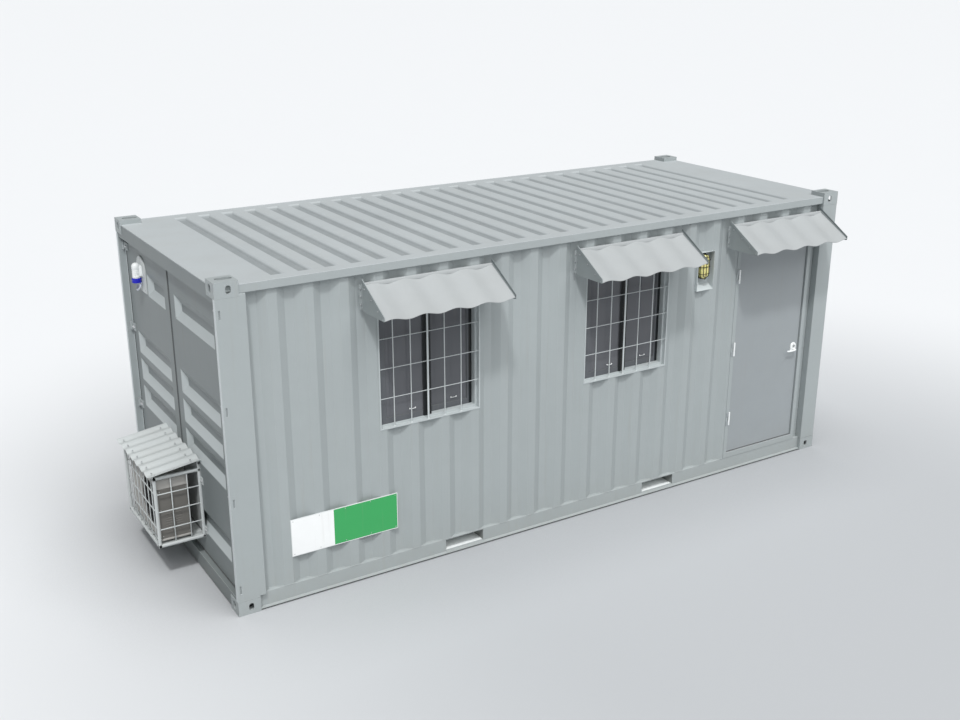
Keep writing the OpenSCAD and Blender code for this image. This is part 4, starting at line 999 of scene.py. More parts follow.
class CABIN_OT_steelwork(Step, bpy.types.Operator):
    """Castings, posts, rails and underframe: paint, rounded edges and weld beads"""

    bl_idname = "cabin.steelwork"
    bl_label = "Frame and underframe"

    def build(self):
        dress(["bottom_castings", "top_castings"], "casting_steel", 0.006, 3)
        dress(["cargo_end_posts"], "post_paint", 0.004, 3)
        dress(["plain_end_posts"], "frame_paint", 0.005, 3)
        dress(["front_bottom_rail", "rear_bottom_rail", "rail_straps", "plain_end_sill"],
              "frame_paint", 0.0015)
        dress(["front_top_rail", "rear_top_rail", "plain_end_header"], "frame_paint", 0.005, 3)
        # the cargo end's sill and header take the same darkened door paint, painted shade
        dress(["cargo_end_sill", "cargo_end_header"], "leaf_paint", 0.003)
        dress(["cross_members", "fork_pocket_sides"], "underframe_paint")
        dress(["fork_pocket_plates"], "pocket_painted_light")
        self.beads()
        self.slot_plates()

    def slot_plates(self):
        """Backing plates close behind the slots beside the cargo hinges."""
        low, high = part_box("cargo_end_posts")
        plates = Piece("post_slot_plates", "gusset_paint")
        for face, sign in ((low.y, 1), (high.y, -1)):
            for z in CARGO_HINGE_HEIGHTS:
                a, b = face + sign * 0.0065, face + sign * 0.0125
                plates.block((low.x + 0.014, min(a, b), z - 0.045),
                             (low.x + 0.042, max(a, b), z + 0.045))
        plates.done(bevel=0.001)

    def beads(self):
        """Weld beads where the walls meet the rails."""
        s = sizes()
        low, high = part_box("rear_wall")
        beads = Piece("wall_weld_beads", "wall_paint")
        corner = CAD_BOX[1].x - 2 * HALF_LENGTH
        start = corner + s.wave_start
        rows = (low.z + 0.002, high.z - 0.002)
        for name in ("front_wall", "rear_wall"):
            a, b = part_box(name)
            face, sign = (a.y, 1) if name == "front_wall" else (b.y, -1)
            for z in rows:
                points = [(x, face + sign * (wave_depth_at(x - start) - 0.0005), z)
                          for x in wall_line(start, a.x, b.x)]
                if name == "front_wall":
                    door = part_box("door_frame")
                    keep = [p for p in points if p[0] < door[0].x - 0.002]
                    beads.wire(keep + [(door[0].x - 0.002, face + wave_depth_at(
                        door[0].x - start) - 0.0005, z)], 0.003, sides=6)
                else:
                    beads.wire(points, 0.003, sides=6)
        a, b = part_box("plain_end_wall")
        first = (a.y + b.y) / 2 - s.wave_flat / 2
        for z in rows:
            beads.wire([(b.x - wave_depth_at(y - first) + 0.0005, y, z)
                        for y in wall_line(first, a.y, b.y)], 0.003, sides=6)
        beads.done()


class CABIN_OT_walls(Step, bpy.types.Operator):
    """Corrugated walls with rounded folds"""

    bl_idname = "cabin.walls"
    bl_label = "Walls"

    def build(self):
        dress(["front_wall", "front_wall_infills", "rear_wall", "plain_end_wall"],
              "wall_paint", 0.0008, 2, 20.0)


class CABIN_OT_roof(Step, bpy.types.Operator):
    """Roof sheet with pressed troughs, and the bead where it meets the rails"""

    bl_idname = "cabin.roof"
    bl_label = "Roof"

    def build(self):
        dress(["roof_sheet"], "roof_paint")
        low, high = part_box("roof_sheet")
        cast_low, cast_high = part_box("top_castings")
        seam = Piece("roof_edge_bead", "roof_paint")
        z = high.z - 0.001
        for y in (low.y + 0.003, high.y - 0.003):
            seam.wire([(cast_low.x + CASTING.x, y, z), (cast_high.x - CASTING.x, y, z)], 0.0032)
        for x in (low.x + 0.003, high.x - 0.003):
            seam.wire([(x, cast_low.y + CASTING.y, z), (x, cast_high.y - CASTING.y, z)], 0.0032)
        seam.done()


class CABIN_OT_interior(Step, bpy.types.Operator):
    """Lining, ceiling and deck, with cover strips over the panel joints"""

    bl_idname = "cabin.interior"
    bl_label = "Interior"

    def build(self):
        dress(["front_lining", "front_lining_infills", "rear_lining", "end_linings",
               "ceiling_panel"], "lining")
        dress(["floor_deck"], "deck_board")
        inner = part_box("rear_lining")
        room_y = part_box("front_lining")[1].y
        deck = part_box("floor_deck")[1].z
        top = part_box("ceiling_panel")[0].z
        x0, x1, y1 = inner[0].x, inner[1].x, inner[0].y
        strips = Piece("lining_cover_strips", "lining")
        for x in spread(x0 + 0.003, x1 - 0.003, 6):
            a, b = max(x - 0.02, x0), min(x + 0.02, x1)
            strips.prism([(a, 0, 0), (a + 0.008, -0.003, 0), (b - 0.008, -0.003, 0), (b, 0, 0)],
                         (0, y1, deck + 0.06), (0, 0, top - deck - 0.10))
            strips.prism([(a, 0, 0), (a + 0.008, 0, -0.003), (b - 0.008, 0, -0.003), (b, 0, 0)],
                         (0, room_y, top), (0, y1 - room_y, 0))
        strips.done()
        trim = Piece("skirting_and_cornice", "lining")
        shape = [(0, 0), (0.012, 0), (0.012, 0.05), (0.006, 0.058), (0, 0.06)]
        cove = [(0, 0), (0.03, 0), (0.026, -0.012), (0.012, -0.026), (0, -0.03)]
        for y, sign in ((y1, -1), (room_y, 1)):
            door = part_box("door_frame")
            runs = [(x0, x1)] if sign < 0 else [(x0, door[0].x), (door[1].x, x1)]
            for a, b in runs:
                trim.prism([(0, sign * p, q) for p, q in shape], (a, y, deck), (b - a, 0, 0))
            trim.prism([(0, sign * p, q) for p, q in cove], (x0, y, top), (x1 - x0, 0, 0))
        for x, sign in ((x0, 1), (x1, -1)):
            trim.prism([(sign * p, 0, q) for p, q in shape], (x, room_y + 0.012, deck),
                       (0, y1 - room_y - 0.024, 0))
            trim.prism([(sign * p, 0, q) for p, q in cove], (x, room_y, top), (0, y1 - room_y, 0))
        trim.done()


# ---- cargo end -------------------------------------------------------------


class CABIN_OT_cargo_doors(Step, bpy.types.Operator):
    """Cargo door leaves, hinge blades with pins and bolts, and lipped gaskets"""

    bl_idname = "cabin.cargo_doors"
    bl_label = "Cargo doors"

    def build(self):
        dress(["front_cargo_leaf", "rear_cargo_leaf"], "leaf_paint", 0.006, 3, 20.0)
        dress(["cargo_hinges"], "frame_paint", 0.003, 2, 40.0)
        dress(["cargo_gaskets"], "gasket_rubber", 0.002)
        s = sizes()
        low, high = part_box("cargo_hinges")
        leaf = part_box("front_cargo_leaf")
        fixings = Piece("cargo_hinge_fixings", "zinc")
        for sign, edge in ((1, low.y), (-1, high.y)):
            for z in CARGO_HINGE_HEIGHTS:
                for k in (0, 1):
                    fixings.bolt((low.x + 0.015, edge + sign * (0.060 + 0.030 * k), z), (-1, 0, 0),
                                 s.bolt)
                pin = (low.x + 0.012, edge + sign * 0.012, z)
                fixings.turned((pin[0], pin[1], z - 0.040), (0, 0, 1),
                               [(0.004, 0), (0.0075, 0.003), (0.0075, 0.077), (0.004, 0.080)],
                               sides=20)
        fixings.done()
        lips = Piece("cargo_door_seals", "gasket_rubber")
        edge_x = leaf[0].x + 0.001
        for a, b in (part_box("front_cargo_leaf"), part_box("rear_cargo_leaf")):
            loop = [(edge_x, a.y + 0.001, a.z + 0.001), (edge_x, b.y - 0.001, a.z + 0.001),
                    (edge_x, b.y - 0.001, b.z - 0.001), (edge_x, a.y + 0.001, b.z - 0.001)]
            centre = Vector((edge_x, (a.y + b.y) / 2, (a.z + b.z) / 2))
            grown = [Vector(p) + (Vector(p) - centre).normalized() * 0.006 for p in loop]
            path = []
            for p, q in zip(grown, grown[1:] + grown[:1]):
                path += [p.lerp(q, t) for t in (0.004, 0.5, 0.996)]
            lips.wire(path, 0.005, closed=True)
        lips.done()


# ---- windows ---------------------------------------------------------------


class CABIN_OT_windows(Step, bpy.types.Operator):
    """Reveals, sashes, glass with gaskets, sash pulls and the welded bars"""

    bl_idname = "cabin.windows"
    bl_label = "Windows"

    def build(self):
        dress(["left_window_frame", "right_window_frame"], "window_frame_paint", 0.0015)
        dress(["left_window_sashes", "right_window_sashes"], "sash_black", 0.002)
        dress(["window_glass"], "window_glass")
        for side in ("left", "right"):
            self.bars(side)
            self.sash_parts(side)

    def bars(self, side):
        s = sizes()
        low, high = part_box(side + "_window_frame")
        x0, x1, z0, z1 = low.x + 0.012, high.x - 0.012, low.z + 0.012, high.z - 0.012
        y = low.y + 0.012
        bars = Piece(side + "_window_bars", "bars")
        count = int((x1 - x0 - s.bar_first) / s.bar_pitch) + 1
        for i in range(min(count, 5)):
            x = x0 + s.bar_first + i * s.bar_pitch
            half = s.middle_bar / 2 if i == 2 else s.bar / 2
            bars.prism([(-half, -s.bar / 2, 0), (half, -s.bar / 2, 0), (half, s.bar / 2, 0),
                        (-half, s.bar / 2, 0)], (x, y, z0 - 0.001), (0, 0, z1 - z0 + 0.002))
        for k in range(1, s.bar_rows):
            z = z0 + (z1 - z0) * k / s.bar_rows
            bars.twisted((x0 - 0.001, y - s.bar * 0.35, z), (x1 + 0.001, y - s.bar * 0.35, z),
                         s.bar * 0.75, s.twist)
        for i in range(min(count, 5)):
            x = x0 + s.bar_first + i * s.bar_pitch
            for z in (z0, z1):
                sign = 1 if z == z0 else -1
                bars.turned((x, y, z), (0, 0, sign),
                            [(0.011, 0), (0.009, 0.003), (0.006, 0.005)], sides=12)
        bars.done(bevel=0.0012, sharp=50.0)

    def sash_parts(self, side):
        """Glazing gaskets, two sash pulls and the strips where the sashes meet."""
        low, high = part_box(side + "_window_sashes")
        middle, stile, thick = (low.x + high.x) / 2, 0.046, 0.024
        parts = Piece(side + "_window_trim", "sash_black")
        pulls = Piece(side + "_window_pulls", "handle_white")
        for a, b, y in ((low.x, middle + 0.023, low.y), (middle - 0.023, high.x, high.y - thick)):
            gx0, gx1 = a + stile, b - stile
            gz0, gz1 = low.z + stile, high.z - stile
            for face in (y + thick / 2 - 0.003, y + thick / 2 + 0.003):
                path = []
                loop = [(gx0, gz0), (gx1, gz0), (gx1, gz1), (gx0, gz1)]
                for p, q in zip(loop, loop[1:] + loop[:1]):
                    for t in (0.003, 0.5, 0.997):
                        path.append((p[0] + (q[0] - p[0]) * t, face, p[1] + (q[1] - p[1]) * t))
                parts.wire(path, 0.0035, "gasket_rubber", 6, closed=True)
            x = gx0 + (gx1 - gx0) * 0.66
            z = gz0 + 0.035
            face = y + thick / 2 - 0.003
            for dx in (-0.024, 0.024):
                pulls.turned((x + dx, face, z), (0, -1, 0), [(0.006, 0), (0.006, 0.004),
                                                             (0.004, 0.006)], sides=14)
            pulls.wire([(x - 0.024, face - 0.004, z), (x - 0.018, face - 0.010, z),
                        (x + 0.018, face - 0.010, z), (x + 0.024, face - 0.004, z)], 0.0025)
        face = low.y
        parts.prism([(-0.050, 0, 0), (-0.046, -0.005, 0), (0.008, -0.005, 0), (0.012, 0, 0)],
                    (middle, face, low.z), (0, 0, high.z - low.z))
        for dx in (-0.036, -0.020):
            parts.prism([(dx, 0, 0), (dx + 0.002, -0.002, 0), (dx + 0.006, -0.002, 0),
                         (dx + 0.008, 0, 0)], (middle, face - 0.005, low.z),
                        (0, 0, high.z - low.z))
        parts.done()
        pulls.done(bevel=0.001)


# ---- awnings ---------------------------------------------------------------


class CABIN_OT_awnings(Step, bpy.types.Operator):
    """Soft-waved awning sheets with hemmed lips, their flanges, screws and gussets"""

    bl_idname = "cabin.awnings"
    bl_label = "Awnings"

    def build(self):
        dress(["awning_gussets"], "gusset_paint", 0.0012)
        for side in ("left", "middle", "right"):
            self.sheet(side)

    def sheet(self, side):
        s = sizes()
        low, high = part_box(side + "_awning")
        wall, reach = high.y, high.y - low.y
        fall = AWNING_FALL
        slope = math.atan2(fall, reach)
        rise, thick = s.awning_rise, s.awning_sheet
        top = high.z
        width = high.x - low.x
        middle = (low.x + high.x) / 2 + 0.035
        columns, rows = 96, 10
        awning = Piece(side + "_awning_sheet", "awning_paint")

        def surface(i, j, lift):
            x = low.x + width * i / columns
            crest = rise * math.cos(2 * math.pi * (x - middle) / s.awning_pitch)
            run = (reach - 0.004) * j / rows
            z = top - thick - rise + crest - run * math.tan(slope)
            return Vector((x, wall - 0.002 - run, z + lift * thick))

        upper, under = ([[surface(i, j, lift) for i in range(columns + 1)]
                         for j in range(rows + 1)] for lift in (0.0, -1.0))
        awning.sheet(upper, under)
        hem = [surface(i, rows, -0.5) + Vector((0, 0.002, 0)) for i in range(columns + 1)]
        awning.wire(hem, 0.0034)
        lip = 2 * rise + thick + 0.006
        flange = [(0, 0, 0), (0, -0.017, 0), (0, -0.020, -0.003), (0, -0.020, -lip),
                  (0, -0.017, -lip), (0, -0.017, -0.004), (0, -0.003, -0.004),
                  (0, -0.003, -0.034), (0, 0, -0.034)]
        awning.prism(flange, (low.x, wall, top), (width, 0, 0))
        awning.done(replaces=[side + "_awning"], sharp=50.0)
        screws = Piece(side + "_awning_screws", "gusset_paint")
        for x in spread(low.x + 0.05, high.x - 0.05, 8):
            screws.rivet((x, wall - 0.009, top - 0.001), (0, 0, 1), s.rivet)
        edge = Piece(side + "_gusset_edges", "zinc")
        # painted shade: the left edge keeps gusset paint, the right edge gets the darker shade
        # colour
        for x, finish in ((low.x - 0.008, "gusset_paint"), (high.x + 0.001, "gusset_shade_paint")):
            ends = [(wall - 0.001, top + 0.032), (wall - 0.001, top + 0.004),
                    (low.y + 0.010, top - fall - 0.018), (low.y + 0.001, top - fall - 0.014),
                    (low.y + 0.001, top - fall + 0.018)]
            edge.prism([(0, y, z) for y, z in ends], (x, 0, 0), (0.007, 0, 0), finish)
        edge.done(bevel=0.0015)
        for x, sign in ((low.x - 0.005, -1), (high.x + 0.005, 1)):
            for t in (0.12, 0.42, 0.72, 0.94):
                y = wall - reach * t
                z = top - 0.016 - fall * t
                screws.bolt((x, y, z), (sign, 0, 0), s.rivet)
            foot = wall - 0.004
            screws.prism([(0, 0, 0), (0, -0.003, 0), (sign * 0.026, -0.003, 0),
                          (sign * 0.026, 0, 0)], (x, wall, top - 0.200), (0, 0, 0.190))
            for z in (0.04, 0.10, 0.16):
                screws.bolt((x + sign * 0.015, foot + 0.001, top - 0.205 + z), (0, -1, 0), s.rivet)
        screws.done()


# ---- light and sign --------------------------------------------------------


def stadium(centre, half_long, half_wide, y, count=28):
    """Points of a slot outline standing in the XZ plane."""
    points = []
    straight = half_long - half_wide
    for turn in turns(count):
        z = straight if math.sin(turn) >= 0 else -straight
        points.append((centre[0] + half_wide * math.cos(turn), y,
                       centre[2] + z + half_wide * math.sin(turn)))
    return points


class CABIN_OT_light_and_sign(Step, bpy.types.Operator):
    """Bulkhead light in its niche, and the enamelled sign plate"""

    bl_idname = "cabin.light_and_sign"
    bl_label = "Light and sign"

    def build(self):
        dress(["light_niche"], "window_frame_paint", 0.0015)
        dress(["sign_plate"], "sign_enamel", 0.001)
        s = sizes()
        low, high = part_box("lamp_base")
        lens_low, lens_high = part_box("lamp_lens")
        centre = (low + high) / 2
        half_w, half_h = (high.x - low.x) / 2, (high.z - low.z) / 2
        base = Piece("lamp_housing", "lamp_black")
        rings = []
        for inset, y in ((0.0, high.y), (0.0, low.y + 0.006), (0.003, low.y + 0.001),
                         (0.007, low.y), (0.010, low.y), (0.012, low.y + 0.004)):
            rings.append(stadium(centre, half_h - inset, half_w - inset, y))
        base.solid(rings)
        base.turned((centre.x, (low.y + high.y) / 2 + 0.002, high.z - 0.004), (0, 0, 1),
                    [(0.009, 0), (0.009, 0.008), (0.006, 0.010)], sides=18)
        base.done(replaces=["lamp_base"])
        lens = Piece("lamp_glass", "lamp_lens")
        depth = lens_high.y - lens_low.y
        rings = []
        for inset, t in ((0.010, 0.0), (0.010, 0.45), (0.012, 0.66), (0.017, 0.82),
                         (0.026, 0.93), (0.036, 0.98), (0.046, 1.0)):
            rings.append(stadium(centre, half_h - inset, half_w - inset, lens_high.y - depth * t))
        lens.solid(rings)
        lens.done(replaces=["lamp_lens"])
        guard = Piece("lamp_guard", "lamp_black")
        front = lens_low.y - 0.004
        for inset, y in ((0.006, low.y - 0.002), (0.008, low.y - 0.024), (0.026, front)):
            guard.wire(stadium(centre, half_h - inset, half_w - inset, y, 40), 0.0030, closed=True)
        guard.wire([(centre.x, low.y, high.z - 0.006), (centre.x, front + 0.010, high.z - 0.008),
                    (centre.x, front, high.z - 0.022), (centre.x, front, low.z + 0.022),
                    (centre.x, front + 0.010, low.z + 0.008), (centre.x, low.y, low.z + 0.006)],
                   0.0028)
        for z in (centre.z - 0.062, centre.z, centre.z + 0.062):
            guard.wire([(low.x + 0.006, low.y, z), (low.x + 0.008, front + 0.010, z),
                        (low.x + 0.022, front, z), (high.x - 0.022, front, z),
                        (high.x - 0.008, front + 0.010, z), (high.x - 0.006, low.y, z)],
                       0.0028)
        for z in (low.z + 0.012, high.z - 0.012):
            guard.rivet((centre.x + 0.026, low.y + 0.001, z), (0, -1, 0), 0.008)
            guard.rivet((centre.x - 0.026, low.y + 0.001, z), (0, -1, 0), 0.008)
        guard.done()
        a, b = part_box("sign_plate")
        rivets = Piece("sign_rivets", "zinc")
        for x in spread(a.x + 0.020, b.x - 0.020, 5):
            for z in (a.z + 0.018, b.z - 0.018):
                rivets.rivet((x, a.y + 0.0003, z), (0, -1, 0), s.rivet * 0.8)
        rivets.done()


# ---- personnel door --------------------------------------------------------


class CABIN_OT_personnel_door(Step, bpy.types.Operator):
    """Door leaf and frame, seals, threshold, hinges and the lever handle with its plates"""

    bl_idname = "cabin.personnel_door"
    bl_label = "Personnel door"

    def build(self):
        dress(["door_frame"], "frame_paint", 0.0015)
        dress(["door_leaf"], "door_paint", 0.0015)
        dress(["door_hinges", "door_hinge_leaves"], "hinge_white", 0.0008, 2, 50.0)
        self.lever()
        self.plates()
        self.seals()
        self.hinge_screws()

    def lever(self):
        """Swept lever on each side of the leaf, on its spindle."""
        low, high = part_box("door_handle")
        leaf_low, leaf_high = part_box("door_leaf")
        z = (low.z + high.z) / 2
        x = high.x - SPINDLE_INSET
        reach = high.x - low.x
        handle = Piece("door_lever", "handle_white", "handle")
        handle.rod((x, low.y + 0.006, z), (x, high.y - 0.006, z), 0.0079, sides=24)
        for face, sign in ((leaf_low.y, -1), (leaf_high.y, 1)):
            out = (low.y + 0.009 if sign < 0 else high.y - 0.009)
            handle.turned((x, face + sign * 0.0125, z), (0, sign, 0),
                          [(0.0125, 0), (0.0125, 0.010), (0.0105, 0.016), (0.0105, 0.026)],
                          sides=24)
            rows = []
            steps = 18
            for i in range(steps + 1):
                t = i / steps
                centre = Vector((x + 0.010 - (reach - 0.012) * t,
                                 out + sign * (-0.004 + 0.004 * math.sin(math.pi * t)),
                                 z - 0.003 * math.sin(math.pi * t)))
                tall = 0.0090 - 0.0012 * t
                deep = 0.0078 - 0.0022 * t
                if i in (0, steps):
                    tall, deep = tall * 0.45, deep * 0.45
                elif i in (1, steps - 1):
                    tall, deep = tall * 0.92, deep * 0.92
                rows.append([centre + Vector((0, deep * math.cos(q), tall * math.sin(q)))
                             for q in turns(20)])
            handle.solid(rows)
        handle.done(replaces=["door_handle"], sharp=60.0)

    def plates(self):
        """Arched plates behind the levers, lock cylinder and latch plate on the leaf."""
        low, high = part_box("door_handle")
        leaf_low, leaf_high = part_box("door_leaf")
        z = (low.z + high.z) / 2
        x = high.x - SPINDLE_INSET
        plates = Piece("door_lock_plates", "zinc", "door")
        half, foot, head = 0.036, z - 0.016, z + 0.030
        for face, sign in ((leaf_low.y, -1), (leaf_high.y, 1)):
            rows = []
            for inset, out in ((0.0, 0.0), (0.0, 0.007), (0.002, 0.010), (0.006, 0.0115)):
                ring = []
                for k in range(25):
                    turn = math.pi * k / 24
                    ring.append((x + (half - inset) * math.cos(turn), face + sign * out,
                                 head + (half - inset) * math.sin(turn)))
                ring += [(x - half + inset, face + sign * out, foot + inset),
                         (x + half - inset, face + sign * out, foot + inset)]
                rows.append(ring)
            plates.solid(rows, "handle_white")
            plates.turned((x, face + sign * 0.0105, head + 0.004), (0, sign, 0),
                          [(0.0125, 0), (0.0125, 0.006), (0.0115, 0.008), (0.006, 0.008),
                           (0.005, 0.0065)], sides=28)
            near, far = face + sign * 0.0165, face + sign * 0.0195
            plates.block((x - 0.0012, min(near, far), head - 0.002),
                         (x + 0.0012, max(near, far), head + 0.010), "fan_black")
            for dz in (foot + 0.008, head + 0.024):
                plates.rivet((x, face + sign * 0.0112, dz), (0, sign, 0), 0.007)
        edge = leaf_high.x
        mid = (leaf_low.y + leaf_high.y) / 2
        plates.block((edge - 0.001, mid - 0.012, z - 0.09), (edge + 0.001, mid + 0.012, z + 0.09))
        plates.prism([(0, -0.008, -0.012), (0.004, 0.004, -0.012), (0.004, 0.008, -0.012),
                      (0, 0.008, -0.012)], (edge, mid, z), (0, 0, 0.024))
        plates.done(bevel=0.0006, sharp=45.0)

    def seals(self):
        """Rubber seal on the stop, ribbed threshold and the keeper plate."""
        frame_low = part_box("door_frame")[0]
        low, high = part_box("door_leaf")
        gap = DOOR_GAP
        seal = Piece("door_seal", "gasket_rubber")
        y = high.y + gap - 0.0022
        x0, x1, z1 = low.x - gap + 0.010, high.x + gap - 0.010, high.z + gap - 0.010
        seal.wire([(x0, y, low.z - gap + 0.001), (x0, y, z1 - 0.02), (x0 + 0.006, y, z1 - 0.006),
                   (x0 + 0.02, y, z1), (x1 - 0.02, y, z1), (x1 - 0.006, y, z1 - 0.006),
                   (x1, y, z1 - 0.02), (x1, y, low.z - gap + 0.001)], 0.0030)
        seal.done()
        tread = Piece("door_threshold", "tread")
        top = low.z - gap
        ribs = [(0, 0.0)]
        start, end = frame_low.y + 0.004, high.y + gap + 0.06
        count = 14
        for k in range(count):
            a = (end - start) * k / count
            step = (end - start) / count
            ribs += [(a + step * 0.2, 0.0018), (a + step * 0.6, 0.0018), (a + step * 0.8, 0.0010)]
        ribs.append((end - start, 0.0))
        outline = [(0, p, q) for p, q in ribs]
        tread.prism(outline, (low.x - gap + 0.001, start, top), (high.x - low.x + 0.010, 0, 0))
        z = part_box("door_handle")
        mid = (z[0].z + z[1].z) / 2
        tread.block((high.x + gap - 0.0008, low.y + 0.008, mid - 0.07),
                    (high.x + gap + 0.0006, low.y + 0.034, mid + 0.07), "zinc")
        tread.done()

    def hinge_screws(self):
        """Screws in the hinge plates on the frame and on the leaf."""
        frame_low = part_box("door_frame")[0]
        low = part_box("door_leaf")[0]
        fixed = Piece("door_frame_screws", "zinc")
        moving = Piece("door_leaf_screws", "zinc", "door")
        for z in DOOR_HINGE_HEIGHTS:
            for dz in (-0.050, -0.036, 0.036, 0.050):
                fixed.rivet((frame_low.x + 0.014, frame_low.y - 0.0037, z + dz), (0, -1, 0), 0.008,
                            "screw_paint")
            for dx in (0.010, 0.022):
                moving.rivet((low.x + dx, low.y - 0.0037, z), (0, -1, 0), 0.008, "screw_paint")
        fixed.done()
        moving.done()


# ---- power inlet -----------------------------------------------------------


class CABIN_OT_power_inlet(Step, bpy.types.Operator):
    """Power inlet: back plate, hooded housing, locking collar and hanging flap"""

    bl_idname = "cabin.power_inlet"
    bl_label = "Power inlet"

    def build(self):
        dress(["inlet_plate"], "cage_paint", 0.0015)
        plate_low, plate_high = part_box("inlet_plate")
        low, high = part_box("inlet_body")
        ring_low, ring_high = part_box("inlet_collar")
        self.rim(plate_low, plate_high)
        mid_y = (low.y + high.y) / 2
        round_r = (high.y - low.y) / 2
        axis = Vector((low.x + round_r, mid_y, low.z))
        tall = high.z - low.z
        body = Piece("inlet_housing", "inlet_white")
        dome = [(round_r * math.cos(q), tall - round_r + round_r * math.sin(q))
                for q in (math.pi / 2 * k / 9 for k in range(9))]
        grips = []
        for k in range(4):
            grips += [(round_r, 0.024 + 0.014 * k), (round_r - 0.0018, 0.027 + 0.014 * k),
                      (round_r - 0.0018, 0.032 + 0.014 * k), (round_r, 0.035 + 0.014 * k)]
        body.turned(axis, (0, 0, 1), [(round_r - 0.003, 0), (round_r, 0.003)] + grips + dome
                    + [(0.003, tall)], sides=48)
        half, rise = 0.022, 0.016
        outline = [(0, -half, rise), (0, half, rise), (0, half, tall - 0.040),
                   (0, half * 0.7, tall - 0.026), (0, -half * 0.7, tall - 0.026),
                   (0, -half, tall - 0.040)]
        body.prism(outline, axis, (high.x - axis.x, 0, 0))
        foot = half + 0.012
        body.prism([(0, -foot, rise), (0, foot, rise), (0, foot, tall - 0.030),
                    (0, -foot, tall - 0.030)], (high.x - 0.005, mid_y, low.z), (0.005, 0, 0))
        for y in (mid_y - foot + 0.006, mid_y + foot - 0.006):
            for z in (low.z + rise + 0.008, high.z - 0.038):
                body.rivet((high.x - 0.0048, y, z), (-1, 0, 0), 0.007)
        body.done(replaces=["inlet_body"], sharp=50.0)
        centre = (ring_low + ring_high) / 2
        radius = (ring_high.x - ring_low.x) / 2
        collar = Piece("inlet_collar_ring", "inlet_blue")
        tall = ring_high.z - ring_low.z
        rows = []
        for t, scale in ((0.0, 0.90), (0.06, 1.0), (0.30, 1.0), (0.36, 0.95), (0.64, 0.95),
                         (0.70, 1.0), (0.94, 1.0), (1.0, 0.92)):
            ring = []
            for k, turn in enumerate(turns(72)):
                notch = 1.0 - (0.05 if (k // 3) % 2 and scale == 1.0 else 0.0)
                r = (radius - 0.0003) * scale * notch
                ring.append((centre.x + r * math.cos(turn), centre.y + r * math.sin(turn),
                             ring_low.z + tall * t))
            rows.append(ring)
        made = collar.faces(rows)
        collar.cap(made[-1])
        inner = collar.faces([[(centre.x + r * math.cos(q), centre.y + r * math.sin(q), z)
                               for q in turns(72)]
                              for r, z in ((radius * 0.90, ring_low.z),
                                           (radius * 0.80, ring_low.z),
                                           (radius * 0.78, ring_low.z + tall * 0.7))])
        collar.cap(inner[-1], flip=True)
        for k in range(3):
            turn = 2 * math.pi * k / 3 + 0.5
            collar.rod((centre.x + 0.018 * math.cos(turn), centre.y + 0.018 * math.sin(turn),
                        ring_low.z + 0.004),
                       (centre.x + 0.018 * math.cos(turn), centre.y + 0.018 * math.sin(turn),
                        ring_low.z + tall * 0.72), 0.003, "zinc", 12)
        collar.done(replaces=["inlet_collar"], sharp=50.0)
        self.flap(centre, radius, ring_low.z, mid_y)

    def rim(self, low, high):
        """Raised rim around the arched plate, with its screws."""
        rim = Piece("inlet_plate_rim", "cage_paint")
        radius = (high.y - low.y) / 2
        mid, top = (low.y + high.y) / 2, high.z - radius
        r = radius - 0.006
        path = [(low.x, mid + r * math.cos(math.pi * k / 36), top + r * math.sin(math.pi * k / 36))
                for k in range(37)]
        path += [(low.x, mid - r, low.z + 0.012), (low.x, mid - r + 0.006, low.z + 0.006),
                 (low.x, mid + r - 0.006, low.z + 0.006), (low.x, mid + r, low.z + 0.012)]
        rim.wire(path, 0.0045, closed=True)
        for y, z in ((mid - r + 0.022, low.z + 0.028), (mid + r - 0.022, low.z + 0.028),
                     (mid, high.z - 0.026)):
            rim.rivet((low.x + 0.0003, y, z), (-1, 0, 0), 0.010)
        rim.done()

    def flap(self, centre, radius, z, mid_y):
        """Sprung flap that hangs open below the collar."""
        flap = Piece("inlet_flap", "inlet_grey")
        hinge = Vector((centre.x + radius - 0.004, mid_y, z - 0.004))
        lean = math.radians(62)
        along = Vector((-math.cos(lean), 0, -math.sin(lean)))
        out = Vector((-math.sin(lean), 0, math.cos(lean)))
        middle = hinge + along * (radius * 0.96)
        rows = []
        for r, lift in ((radius * 0.90, -0.002), (radius * 0.97, 0.0), (radius * 0.97, 0.007),
                        (radius * 0.90, 0.010), (radius * 0.70, 0.010), (radius * 0.62, 0.007)):
            rows.append([middle + along * (r * math.cos(q)) + Vector((0, r * math.sin(q), 0))
                         + out * lift for q in turns(40)])
        flap.solid(rows)
        flap.rod(hinge + Vector((0, -0.028, 0)), hinge + Vector((0, 0.028, 0)), 0.004, sides=14)
        coil = [hinge + Vector((0.0055 * math.cos(t), -0.012 + 0.024 * t / (12 * math.pi),
                                0.0055 * math.sin(t)))
                for t in (12 * math.pi * k / 120 for k in range(121))]
        flap.wire(coil, 0.0009, "zinc", 6)
        flap.done(sharp=50.0)


# ---- cage and cooling unit -------------------------------------------------


